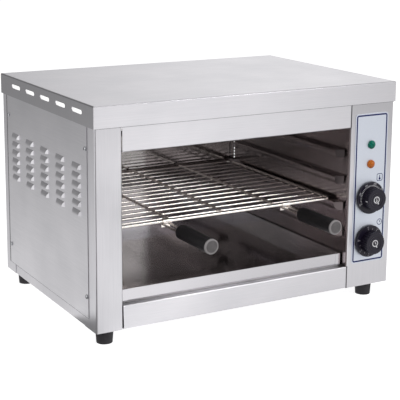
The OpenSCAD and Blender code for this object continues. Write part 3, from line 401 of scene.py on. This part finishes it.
# Nylon mouldings, one left natural white and one black: smooth, with a soft gloss
whiteFinish = {
    "light": "#e6e4de", "dark": "#d3d1ca", "roughness": 0.45, "spread": 0.12,
    "grainMm": 1, "grainStrength": 0.15,
}
whiteNylon = makeMoulded("whiteNylon", whiteFinish)
glandFinish = {**whiteFinish, "light": "#26252a", "dark": "#17161a", "roughness": 0.42}
blackNylon = makeMoulded("blackNylonGland", glandFinish)
# Inks, screen printed on the plate and pad printed on the dials: flat, slightly raised, nearly dull. The
# timer's scale is worn grey
whiteInkFinish = {
    "light": "#eeedf0", "dark": "#dcdbde", "roughness": 0.5, "spread": 0.1,
    "grainMm": 0.5, "grainStrength": 0.1,
}
greyInkFinish = {**whiteInkFinish, "light": "#b3afb7", "dark": "#98949c"}
blueInkFinish = {
    **whiteInkFinish, "light": "#232966", "dark": "#1c2156", "roughness": 0.6,
    "shader": {"Specular IOR Level": 0.25},
}
blueInk = makeMoulded("blueScreenInk", blueInkFinish)
whiteInk = makeMoulded("whitePadInk", whiteInkFinish)
greyInk = makeMoulded("wornPadInk", greyInkFinish)
# Thin dark strips in the joints of the housing, with a slight gloss: painted shade where the joints are
# shadow gaps
shadowStripFinish = {
    "light": "#57545a", "dark": "#434046", "roughness": 0.5, "spread": 0.1,
    "grainMm": 1, "grainStrength": 0.1,
}
shadowStripMaterial = makeMoulded("paintedShadowStrip", shadowStripFinish)


# The rim of a round cap, whose axis is Y, is coloured lighter than its middle
def lightenRim(material, spec):
    tree = material.node_tree
    shader = next(node for node in tree.nodes if node.type == "BSDF_PRINCIPLED")
    middle = shader.inputs["Base Color"].links[0].from_socket
    place = addNode(tree, "TexCoord")
    fromAxis = addNode(tree, "VectorMath", {
        0: place.outputs["Generated"], 1: (1, 0, 1), 2: (-0.5, 0, -0.5)}, operation="MULTIPLY_ADD")
    radius = addNode(tree, "VectorMath", {0: fromAxis.outputs[0]}, operation="LENGTH")
    atRim = addNode(tree, "MapRange", {
        "Value": radius.outputs["Value"], "From Min": spec["rimFrom"], "From Max": spec["rimTo"]})
    colour = addNode(tree, "Mix", {
        mixFactor: atRim.outputs[0], colourA: middle, colourB: hexColour(spec["rim"])},
        data_type="RGBA")
    feedShader(tree, shader, {"Base Color": colour.outputs[colourOut]})


lightenRim(greyNylon, capFinish)

# Pilot lamp lens of tinted polycarbonate: glossy outside, with pressed prisms behind that break up the light
lensFinish = {
    "prismMm": 1.7,
    "prismScatter": 0.25,
    "prismFrom": 0.1,
    "prismTo": 0.55,
    "bumpStrength": 0.35,
    "bumpMm": 0.3,
    "roughness": 0.14,
    "ior": 1.58,
    "specular": 0.15,
}
greenTint = {**lensFinish, "light": "#009078", "dark": "#00493d"}
amberTint = {**lensFinish, "light": "#f08c38", "dark": "#9d4c16"}


def makeLens(name, spec):
    material, tree, shader = startMaterial(name, {
        "Roughness": spec["roughness"], "IOR": spec["ior"], "Specular IOR Level": spec["specular"]})
    place = addNode(tree, "TexCoord")
    prisms = addNode(tree, "TexVoronoi", {
        "Vector": place.outputs["Object"], "Scale": cellScale(spec["prismMm"]),
        "Randomness": spec["prismScatter"]}, feature="F1", distance="CHEBYCHEV")
    facet = addNode(tree, "MapRange", {
        "Value": prisms.outputs["Distance"], "From Min": spec["prismFrom"], "From Max": spec["prismTo"]})
    colour = addNode(tree, "Mix", {
        mixFactor: facet.outputs[0], colourA: hexColour(spec["light"]),
        colourB: hexColour(spec["dark"])}, data_type="RGBA")
    bump = addNode(tree, "Bump", {
        "Strength": spec["bumpStrength"], "Distance": spec["bumpMm"] * mm, "Height": facet.outputs[0]})
    feedShader(tree, shader, {"Base Color": colour.outputs[colourOut], "Normal": bump.outputs[0]})
    return material


greenLens = makeLens("greenPolycarbonate", greenTint)
amberLens = makeLens("amberPolycarbonate", amberTint)
print("materials made:", len(bpy.data.materials))

# Dressing of the part's own nodes


def dress(material, *nodeNames):
    for name in nodeNames:
        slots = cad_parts[name].data.materials
        slots.clear()
        slots.append(material)


dress(lidSteel, "top_cover")
dress(ledgeSteel, "lower_front_panel")
dress(alongSteel, "upper_fascia", "rear_panel", "base_plate")
dress(postSteel, "left_post", "control_panel")
dress(sideSteel, "left_side_panel", "right_side_panel")
dress(traySteel, "crumb_tray")
dress(cavitySteel, "cavity_back", "cavity_floor", "cavity_ceiling", "element_supports", "heat_shield")
dress(wallSteel, "cavity_left_wall", "cavity_right_wall")
dress(heatedSheath, "heating_element_front", "heating_element_rear")
dress(ceramicFibre, "insulation_board")
dress(tanPhenolic, "thermostat_body")
dress(casePlate, "timer_body")
dress(drawnCopper, "thermostat_bulb")
dress(zincPlate, "bulb_clips", "thermostat_shaft", "timer_shaft", "foot_screws", "foot_nuts",
      "left_panel_screws", "right_panel_screws", "rear_screws")
dress(blackPhenolic, "thermostat_knob", "timer_knob")
dress(anodisedPlate, "control_overlay")
dress(greenLens, "power_lamp_lens")
dress(amberLens, "heat_lamp_lens")
dress(whiteNylon, "power_lamp_body", "heat_lamp_body", "terminal_block")
dress(chromedWire, "wire_rack", "left_handle_shank", "right_handle_shank")
dress(satinPhenolic, "left_grip", "right_grip")
dress(greyNylon, "left_grip_cap", "right_grip_cap")
dress(footRubber, "foot_front_left", "foot_front_right", "foot_rear_left", "foot_rear_right")
dress(blackNylon, "cord_gland", "gland_nut")

sharpAngle = 32  # in degrees: edges that turn by more stay crisp


def smoothNode(name):
    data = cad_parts[name].data
    data.polygons.foreach_set("use_smooth", [True] * len(data.polygons))
    data.set_sharp_from_angle(angle=math.radians(sharpAngle))


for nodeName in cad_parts:
    smoothNode(nodeName)
print("materials on", len(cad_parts), "CAD nodes")

# Printed marks

inkThick = 0.05 * mm


# A piece made from a finished mesh: it moves with one of the part's bodies
def newPiece(name, mesh, material, body):
    data = bpy.data.meshes.new(name)
    mesh.normal_update()
    mesh.to_mesh(data)
    mesh.free()
    data.materials.append(material)
    piece = bpy.data.objects.new(name, data)
    bpy.context.scene.collection.objects.link(piece)
    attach(piece, body)


# Direction in the XZ plane, from an angle in degrees that runs from +X towards +Z
def heading(degrees):
    return Vector((math.cos(math.radians(degrees)), math.sin(math.radians(degrees))))


# Points of a rectangle with round corners, about its centre, as X and Z
def roundedLoop(width, height, radius, cornerSteps=8):
    points = []
    for quarter, (right, up) in enumerate([(1, 1), (-1, 1), (-1, -1), (1, -1)]):
        for step in range(cornerSteps + 1):
            angle = math.pi / 2 * (quarter + step / cornerSteps)
            points.append((right * (width / 2 - radius) + radius * math.cos(angle),
                           up * (height / 2 - radius) + radius * math.sin(angle)))
    return points


def circleLoop(radius, steps=40):
    return [(radius * math.cos(2 * math.pi * i / steps), radius * math.sin(2 * math.pi * i / steps))
            for i in range(steps)]


# A flat mark of ink on a face that looks to -Y: the area between two loops of the same count, or the whole
# outer loop where there is no inner one
def addInk(mesh, centre, outer, inner=None):
    x, y, z = centre
    back, front = y, y - inkThick

    def ring(loop, depth):
        return [mesh.verts.new((x + right, depth, z + up)) for right, up in loop]

    outerFront, outerBack = ring(outer, front), ring(outer, back)
    if inner:
        innerFront, innerBack = ring(inner, front), ring(inner, back)
    else:
        mesh.faces.new(outerFront)
        mesh.faces.new(outerBack[::-1])
    count = len(outer)
    for i in range(count):
        after = (i + 1) % count
        mesh.faces.new([outerBack[i], outerBack[after], outerFront[after], outerFront[i]])
        if inner:
            mesh.faces.new([outerFront[i], outerFront[after], innerFront[after], innerFront[i]])
            mesh.faces.new([innerBack[i], innerBack[after], outerBack[after], outerBack[i]])
            mesh.faces.new([innerFront[i], innerFront[after], innerBack[after], innerBack[i]])


# A straight mark from one point to another, as X and Z about the centre
def addStroke(mesh, centre, start, end, width):
    start, end = Vector(start), Vector(end)
    direction = (end - start).normalized()
    side = Vector((-direction.y, direction.x)) * width / 2
    addInk(mesh, centre, [start - side, end - side, end + side, start + side])


overlayLow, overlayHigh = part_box("control_overlay")
overlayFace = overlayLow.y
overlayMid = (overlayLow + overlayHigh) / 2

borderPrint = {"inset": 2.1 * mm, "line": 2.7 * mm, "radius": 4.4 * mm}


def makeBorder():
    mesh = bmesh.new()
    width = overlayHigh.x - overlayLow.x - 2 * borderPrint["inset"]
    height = overlayHigh.z - overlayLow.z - 2 * borderPrint["inset"]
    line, radius = borderPrint["line"], borderPrint["radius"]
    addInk(mesh, (overlayMid.x, overlayFace, overlayMid.z), roundedLoop(width, height, radius),
           roundedLoop(width - 2 * line, height - 2 * line, radius - line))
    newPiece("overlay_border", mesh, blueInk, "housing")


# The thermometer and the clock stand to the right above their knobs
iconPrint = {
    "thermometerRight": 21 * mm, "thermometerRise": 35 * mm, "clockRight": 24 * mm, "clockRise": 32 * mm,
    "frameWidth": 12.8 * mm, "frameHeight": 13.824 * mm, "frameRadius": 3.4 * mm, "line": 1.1 * mm,
    "bulb": 2.2 * mm, "stem": 1.7 * mm, "stemTop": 3.8 * mm, "bulbDrop": 2.6 * mm,
    "clock": 5.7 * mm, "minuteHand": 3.2 * mm, "hourHand": 2.2 * mm,
}


def knobCentre(nodeName):
    low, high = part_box(nodeName)
    return (low + high) / 2


def makeIcons():
    spec = iconPrint
    mesh = bmesh.new()
    knob = knobCentre("thermostat_knob")
    centre = (knob.x + spec["thermometerRight"], overlayFace, knob.z + spec["thermometerRise"])
    width, height, line = spec["frameWidth"], spec["frameHeight"], spec["line"]
    addInk(mesh, centre, roundedLoop(width, height, spec["frameRadius"]),
           roundedLoop(width - 2 * line, height - 2 * line, spec["frameRadius"] - line))
    addInk(mesh, (centre[0], centre[1], centre[2] - spec["bulbDrop"]), circleLoop(spec["bulb"]))
    addStroke(mesh, centre, (0, -spec["bulbDrop"] + spec["bulb"]), (0, spec["stemTop"]), spec["stem"])
    knob = knobCentre("timer_knob")
    centre = (knob.x + spec["clockRight"], overlayFace, knob.z + spec["clockRise"])
    addInk(mesh, centre, circleLoop(spec["clock"]), circleLoop(spec["clock"] - line))
    addStroke(mesh, centre, (0, 0), (0, spec["minuteHand"]), line)
    addStroke(mesh, centre, (0, 0), (spec["hourHand"], 0), line)
    newPiece("overlay_icons", mesh, blueInk, "housing")


makeBorder()
makeIcons()
print("border and signs on the overlay")

# Each dial has ticks round the skirt and numbers outside them, and a ring with a tail on the grip's face. The
# thermostat's grip has a line down its flank as well. Angles are in degrees from +X towards +Z
dialPrint = {
    "thermostat": {"first": 50, "step": 50, "count": 6, "ticksBetween": 5, "zeroAngle": 203, "sweep": -215},
    "timer": {"first": 0, "step": 10, "count": 7, "ticksBetween": 1, "zeroAngle": 100, "sweep": -290},
    "tickInner": 21.2 * mm, "tickOuter": 23.9 * mm, "tickWidth": 0.9 * mm,
    "digitSize": 4.06 * mm, "digitRadius": 26.0 * mm, "digitSteps": 3,
    "ringOuter": 6.3 * mm, "ringInner": 4.6 * mm, "dot": 1.7 * mm,
    "hand": 1.3 * mm, "handLength": 3.2 * mm, "shortHand": (2.24 * mm, -1.6 * mm),
    "tailAngle": -62, "tailInner": 5.6 * mm, "tailOuter": 9.4 * mm, "tailWidth": 2.2 * mm,
    "flankAngle": 184, "flankFrom": 1.4 * mm, "flankLength": 5.5 * mm, "flankWidth": 1.6 * mm,
    "flankSunk": 0.3 * mm,
    "skirtThickness": 4 * mm, "dishDepth": 1.2 * mm, "gripRadius": 20.25 * mm,
}


# A number as flat ink, upright towards the dial's rim
def addNumber(mesh, text, centre, angle, spec):
    curve = bpy.data.curves.new("number", "FONT")
    curve.body = text
    curve.size = spec["digitSize"]
    curve.align_x = "CENTER"
    curve.align_y = "CENTER"
    curve.extrude = inkThick / 2
    curve.resolution_u = spec["digitSteps"]
    temporary = bpy.data.objects.new("number", curve)
    bpy.context.scene.collection.objects.link(temporary)
    bpy.context.view_layer.update()
    data = bpy.data.meshes.new_from_object(temporary)
    bpy.data.objects.remove(temporary)
    turn = Matrix.Rotation(math.radians(angle - 90), 4, "Z")
    stand = Matrix.Rotation(math.radians(90), 4, "X")
    out = heading(angle).to_3d() * spec["digitRadius"]
    data.transform(Matrix.Translation(Vector(centre)) @ stand @ Matrix.Translation(out) @ turn)
    mesh.from_mesh(data)
    bpy.data.meshes.remove(data)


def makeScale(which, body, ink):
    spec = {**dialPrint, **dialPrint[which]}
    knob = knobCentre(which + "_knob")
    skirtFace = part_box(which + "_knob")[1].y - spec["skirtThickness"]
    mesh = bmesh.new()
    last = (spec["count"] - 1) * (spec["ticksBetween"] + 1)
    for i in range(last + 1):
        direction = heading(spec["zeroAngle"] + spec["sweep"] * i / last)
        addStroke(mesh, (knob.x, skirtFace, knob.z), direction * spec["tickInner"],
                  direction * spec["tickOuter"], spec["tickWidth"])
    for i in range(spec["count"]):
        angle = spec["zeroAngle"] + spec["sweep"] * i / (spec["count"] - 1)
        addNumber(mesh, str(spec["first"] + i * spec["step"]),
                  (knob.x, skirtFace - inkThick / 2, knob.z), angle, spec)
    newPiece(which + "_dial_scale", mesh, ink, body)


# The line of ink on the flank of a round grip: it stands out by the ink's thickness and is a little sunk in
def addFlankLine(mesh, knob, frontFace, spec):
    right, up = heading(spec["flankAngle"])
    out = Vector((right, 0, up))
    along = Vector((-out.z, 0, out.x)) * spec["flankWidth"] / 2
    front = Vector((knob.x, frontFace + spec["flankFrom"], knob.z))
    corners = [front + out * radius + along * side + Vector((0, depth, 0))
               for radius in (spec["gripRadius"] - spec["flankSunk"], spec["gripRadius"] + inkThick)
               for depth in (0, spec["flankLength"]) for side in (-1, 1)]
    bmesh.ops.convex_hull(mesh, input=[mesh.verts.new(corner) for corner in corners])


# The ring on the grip's face: with a thermometer in it, or with a clock's hands
def makeMark(which, body):
    spec = dialPrint
    knob = knobCentre(which + "_knob")
    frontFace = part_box(which + "_knob")[0].y
    mesh = bmesh.new()
    centre = (knob.x, frontFace + spec["dishDepth"], knob.z)
    addInk(mesh, centre, circleLoop(spec["ringOuter"]), circleLoop(spec["ringInner"]))
    tail = heading(spec["tailAngle"])
    addStroke(mesh, centre, tail * spec["tailInner"], tail * spec["tailOuter"], spec["tailWidth"])
    if which == "thermostat":
        addInk(mesh, (centre[0], centre[1], centre[2] - spec["dot"]), circleLoop(spec["dot"]))
        addStroke(mesh, centre, (0, -spec["dot"]), (0, spec["handLength"]), spec["hand"])
        addFlankLine(mesh, knob, frontFace, spec)
    else:
        addStroke(mesh, centre, (0, 0), (0, spec["handLength"]), spec["hand"])
        addStroke(mesh, centre, (0, 0), spec["shortHand"], spec["hand"])
    newPiece(which + "_grip_mark", mesh, whiteInk, body)


makeScale("thermostat", "thermostat_dial", whiteInk)
makeMark("thermostat", "thermostat_dial")
makeScale("timer", "timer_dial", greyInk)
makeMark("timer", "timer_dial")
print("scales and marks on the dials")

# Painted shadow strips in the joints

# A thin dark strip lies in the joint along the rear and the foot of each side panel, one in the joint between
# the front sheets and the control panel, and one under the front of the lid: painted shade, where the joints
# are shadow
shadowStrip = {"rear": 5.5 * mm, "foot": 1.3 * mm, "front": 2.2 * mm, "lid": 0.9 * mm, "thick": 0.2 * mm}

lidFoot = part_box("top_cover")[0].z


def addBox(mesh, low, high):
    corners = [Vector((x, y, z))
               for x in (low[0], high[0]) for y in (low[1], high[1]) for z in (low[2], high[2])]
    bmesh.ops.convex_hull(mesh, input=[mesh.verts.new(corner) for corner in corners])


def makeFrontShadowStrips():
    panelLow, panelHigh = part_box("control_panel")
    stripFace = panelLow.y - shadowStrip["thick"]
    mesh = bmesh.new()
    for name in ("upper_fascia", "lower_front_panel"):
        low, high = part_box(name)
        addBox(mesh, (panelLow.x - shadowStrip["front"] / 2, stripFace, low.z),
               (panelLow.x + shadowStrip["front"] / 2, panelLow.y, min(high.z, lidFoot)))
    addBox(mesh, (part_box("left_post")[0].x, stripFace, lidFoot - shadowStrip["lid"]),
           (panelHigh.x, panelLow.y, lidFoot))
    newPiece("front_shadow_strips", mesh, shadowStripMaterial, "housing")


def makeSideShadowStrips(side):
    low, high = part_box(side + "_side_panel")
    bodyLow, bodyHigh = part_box("rear_panel")
    if side == "left":
        xLow, xHigh = bodyLow.x - shadowStrip["thick"], bodyLow.x
    else:
        xLow, xHigh = bodyHigh.x, bodyHigh.x + shadowStrip["thick"]
    foot = low.z - shadowStrip["foot"]
    mesh = bmesh.new()
    addBox(mesh, (xLow, high.y, foot), (xHigh, high.y + shadowStrip["rear"], lidFoot))
    addBox(mesh, (xLow, low.y, foot), (xHigh, high.y, low.z))
    newPiece(side + "_panel_shadow_strips", mesh, shadowStripMaterial, "housing")


makeFrontShadowStrips()
makeSideShadowStrips("left")
makeSideShadowStrips("right")
print("sealant in the joints")

# Floor, light and camera

# The backdrop is white to the camera and the ambient light is even. What the metal mirrors is a studio with
# its bright end to the right, a middling one behind at the left, darkness at the left in front and a bright
# strip at the very left. A range that ends in Step or Reach says where one brightness goes over into the
# next: as the X or Y of a direction, or in metres on the floor
studio = {
    "floorSize": 14,
    "floorColour": "#c9c9c9",
    "floorGlow": 0.8,
    "ambient": 0.42,
    "bright": 1.08,
    "brightFloor": 1.3,
    "edge": 0.7,
    "edgeStep": (0.6, 0.92),
    "backFloorNear": 0.84,
    "backFloorFar": 0.4,
    "backFloorReach": (0.4, 2.0),
    "backWall": 0.3,
    "backStep": (-0.5, 0.3),
    "darkCorner": 0.22,
    "darkWall": 0.3,
    "frontWall": 1.3,
    "frontStep": (0.0, -0.6),
    "farRight": 0.6,
    "farRightReach": (0.84, 1.2),
    "leftSide": 1.1,
    "leftStep": (-0.74, -0.92),
    "wallRightStep": (0.18, 0.6),
    "floorRightStep": (-0.2, 0.35),
    "floorCentre": -0.3,
}


# Brightness that metal mirrors: place is a point about the object's left side, or a direction, and rightStep
# is the step from left to right; leftBack is the value or socket behind at the left, leftFront the one in
# front there and right the one at the right
def mirroredLight(tree, place, rightStep, leftBack, leftFront, right):
    level = addNode(tree, "VectorMath", {0: place, 1: (1, 1, 0)}, operation="MULTIPLY")
    towards = addNode(tree, "VectorMath", {0: level.outputs[0]}, operation="NORMALIZE")
    sides = addNode(tree, "SeparateXYZ", {0: towards.outputs[0]})
    toRight = addNode(tree, "MapRange", {
        "Value": sides.outputs["X"], "From Min": rightStep[0], "From Max": rightStep[1]},
        interpolation_type="SMOOTHSTEP")
    toBack = addNode(tree, "MapRange", {
        "Value": sides.outputs["Y"], "From Min": studio["backStep"][0], "From Max": studio["backStep"][1]},
        interpolation_type="SMOOTHSTEP")
    left = addNode(tree, "Mix", {mixFactor: toBack.outputs[0], numberA: leftFront, numberB: leftBack})
    edge = addNode(tree, "MapRange", {
        "Value": sides.outputs["X"], "From Min": studio["edgeStep"][0], "From Max": studio["edgeStep"][1],
        "To Min": 1.0, "To Max": studio["edge"]})
    rightEdge = addNode(tree, "Math", {0: edge.outputs[0], 1: right}, operation="MULTIPLY")
    atLeft = addNode(tree, "MapRange", {
        "Value": sides.outputs["X"], "From Min": studio["leftStep"][0], "From Max": studio["leftStep"][1]})
    lit = addNode(tree, "Mix", {
        mixFactor: atLeft.outputs[0], numberA: left.outputs[0], numberB: studio["leftSide"]})
    return addNode(tree, "Mix", {
        mixFactor: toRight.outputs[0], numberA: lit.outputs[0], numberB: rightEdge.outputs[0]}).outputs[0]


# The node of the rays' kinds, and a socket that is 1 for glossy and transmitted rays
def mirrorRay(tree):
    rays = addNode(tree, "LightPath")
    isMirror = addNode(tree, "Math", {
        0: rays.outputs["Is Glossy Ray"], 1: rays.outputs["Is Transmission Ray"]}, operation="MAXIMUM")
    return rays, isMirror.outputs[0]


def makeWorld():
    world = bpy.data.worlds.new("studio")
    world.use_nodes = True
    tree = world.node_tree
    tree.nodes.clear()
    place = addNode(tree, "TexCoord")
    sides = addNode(tree, "SeparateXYZ", {0: place.outputs["Generated"]})
    right = addNode(tree, "MapRange", {
        "Value": sides.outputs["Y"], "From Min": studio["frontStep"][0], "From Max": studio["frontStep"][1],
        "To Min": studio["bright"], "To Max": studio["frontWall"]})
    mirrored = mirroredLight(tree, place.outputs["Generated"], studio["wallRightStep"], studio["backWall"],
                             studio["darkWall"], right.outputs[0])
    rays, isMirror = mirrorRay(tree)
    indirect = addNode(tree, "Mix", {
        mixFactor: isMirror, numberA: studio["ambient"], numberB: mirrored})
    strength = addNode(tree, "Mix", {
        mixFactor: rays.outputs["Is Camera Ray"], numberA: indirect.outputs[0], numberB: 1.0})
    light = addNode(tree, "Background", {"Color": white, "Strength": strength.outputs[0]})
    addNode(tree, "OutputWorld", {"Surface": light.outputs[0]})
    bpy.context.scene.world = world


def makeFloor():
    bpy.ops.mesh.primitive_plane_add(size=studio["floorSize"])
    floor = bpy.context.object
    floor.name = "studio_floor"
    material = bpy.data.materials.new("studioPaper")
    material.use_nodes = True
    tree = material.node_tree
    tree.nodes.clear()
    place = addNode(tree, "TexCoord")
    fromLeft = addNode(tree, "VectorMath", {
        0: place.outputs["Object"], 1: (studio["floorCentre"], 0, 0)}, operation="SUBTRACT")
    distance = addNode(tree, "VectorMath", {0: fromLeft.outputs[0]}, operation="LENGTH")
    behind = addNode(tree, "MapRange", {
        "Value": distance.outputs["Value"],
        "From Min": studio["backFloorReach"][0], "From Max": studio["backFloorReach"][1],
        "To Min": studio["backFloorNear"], "To Max": studio["backFloorFar"]})
    sides = addNode(tree, "SeparateXYZ", {0: place.outputs["Object"]})
    right = addNode(tree, "MapRange", {
        "Value": sides.outputs["X"],
        "From Min": studio["farRightReach"][0], "From Max": studio["farRightReach"][1],
        "To Min": studio["brightFloor"], "To Max": studio["farRight"]})
    mirrored = mirroredLight(tree, fromLeft.outputs[0], studio["floorRightStep"], behind.outputs[0],
                             studio["darkCorner"], right.outputs[0])
    rays, isMirror = mirrorRay(tree)
    glowStrength = addNode(tree, "Mix", {
        mixFactor: rays.outputs["Is Camera Ray"], numberA: 0.0, numberB: studio["floorGlow"]})
    paper = addNode(tree, "BsdfDiffuse", {"Color": hexColour(studio["floorColour"])})
    glow = addNode(tree, "Emission", {"Color": white, "Strength": glowStrength.outputs[0]})
    seen = addNode(tree, "AddShader", {0: paper.outputs[0], 1: glow.outputs[0]})
    mirrorImage = addNode(tree, "Emission", {"Color": white, "Strength": mirrored})
    both = addNode(tree, "MixShader", {0: isMirror, 1: seen.outputs[0], 2: mirrorImage.outputs[0]})
    addNode(tree, "OutputMaterial", {"Surface": both.outputs[0]})
    floor.data.materials.append(material)


# Soft lamps, all aimed at the middle of the object. The key is kept out of the mirrors, where it would draw a
# white line along the folds
lampTarget = (0, 0, 0.2)
lamps = {
    "key": {"place": (1.6, -2.4, 2.3), "size": 1.6, "power": 30, "mirrored": False},
    "fill": {"place": (-2.6, -1.5, 1.5), "size": 1.2, "power": 18, "mirrored": True},
    "strip": {"place": (1.25, -2.05, 1.5), "size": 0.6, "power": 8, "mirrored": True},
    "top": {"place": (0.2, 0.6, 2.8), "size": 2.6, "power": 10, "mirrored": True},
}


def makeLamps():
    for name, spec in lamps.items():
        data = bpy.data.lights.new(name, "AREA")
        data.size = spec["size"]
        data.energy = spec["power"]
        lamp = bpy.data.objects.new(name, data)
        lamp.location = spec["place"]
        lamp.visible_glossy = spec["mirrored"]
        aim = Vector(lampTarget) - lamp.location
        lamp.rotation_euler = aim.to_track_quat("-Z", "Y").to_euler()
        bpy.context.scene.collection.objects.link(lamp)


# The photograph's view: from the left front, a little above, with a long lens
cameraView = {
    "azimuth": -29.05, "elevation": 11.37, "roll": 0.31, "distance": 1.875,
    "target": (-0.122, -0.15675, 0.322),
    "lens": 105, "sensor": 36, "shiftX": 0.025, "shiftY": -0.15, "near": 0.05, "far": 50,
}


def makeCamera():
    spec = cameraView
    azimuth, elevation = math.radians(spec["azimuth"]), math.radians(spec["elevation"])
    back = Vector((math.sin(azimuth) * math.cos(elevation), -math.cos(azimuth) * math.cos(elevation),
                   math.sin(elevation)))
    data = bpy.data.cameras.new("camera")
    data.lens, data.sensor_width = spec["lens"], spec["sensor"]
    data.shift_x, data.shift_y = spec["shiftX"], spec["shiftY"]
    data.clip_start, data.clip_end = spec["near"], spec["far"]
    camera = bpy.data.objects.new("camera", data)
    place = Matrix.Translation(Vector(spec["target"]) + back * spec["distance"])
    aim = (-back).to_track_quat("-Z", "Y").to_matrix().to_4x4()
    tilt = Matrix.Rotation(math.radians(spec["roll"]), 4, "Z")
    camera.matrix_world = place @ aim @ tilt
    bpy.context.scene.collection.objects.link(camera)
    bpy.context.scene.camera = camera


makeWorld()
makeFloor()
makeLamps()
makeCamera()
bpy.context.scene.view_settings.view_transform = "Standard"
print("studio ready")
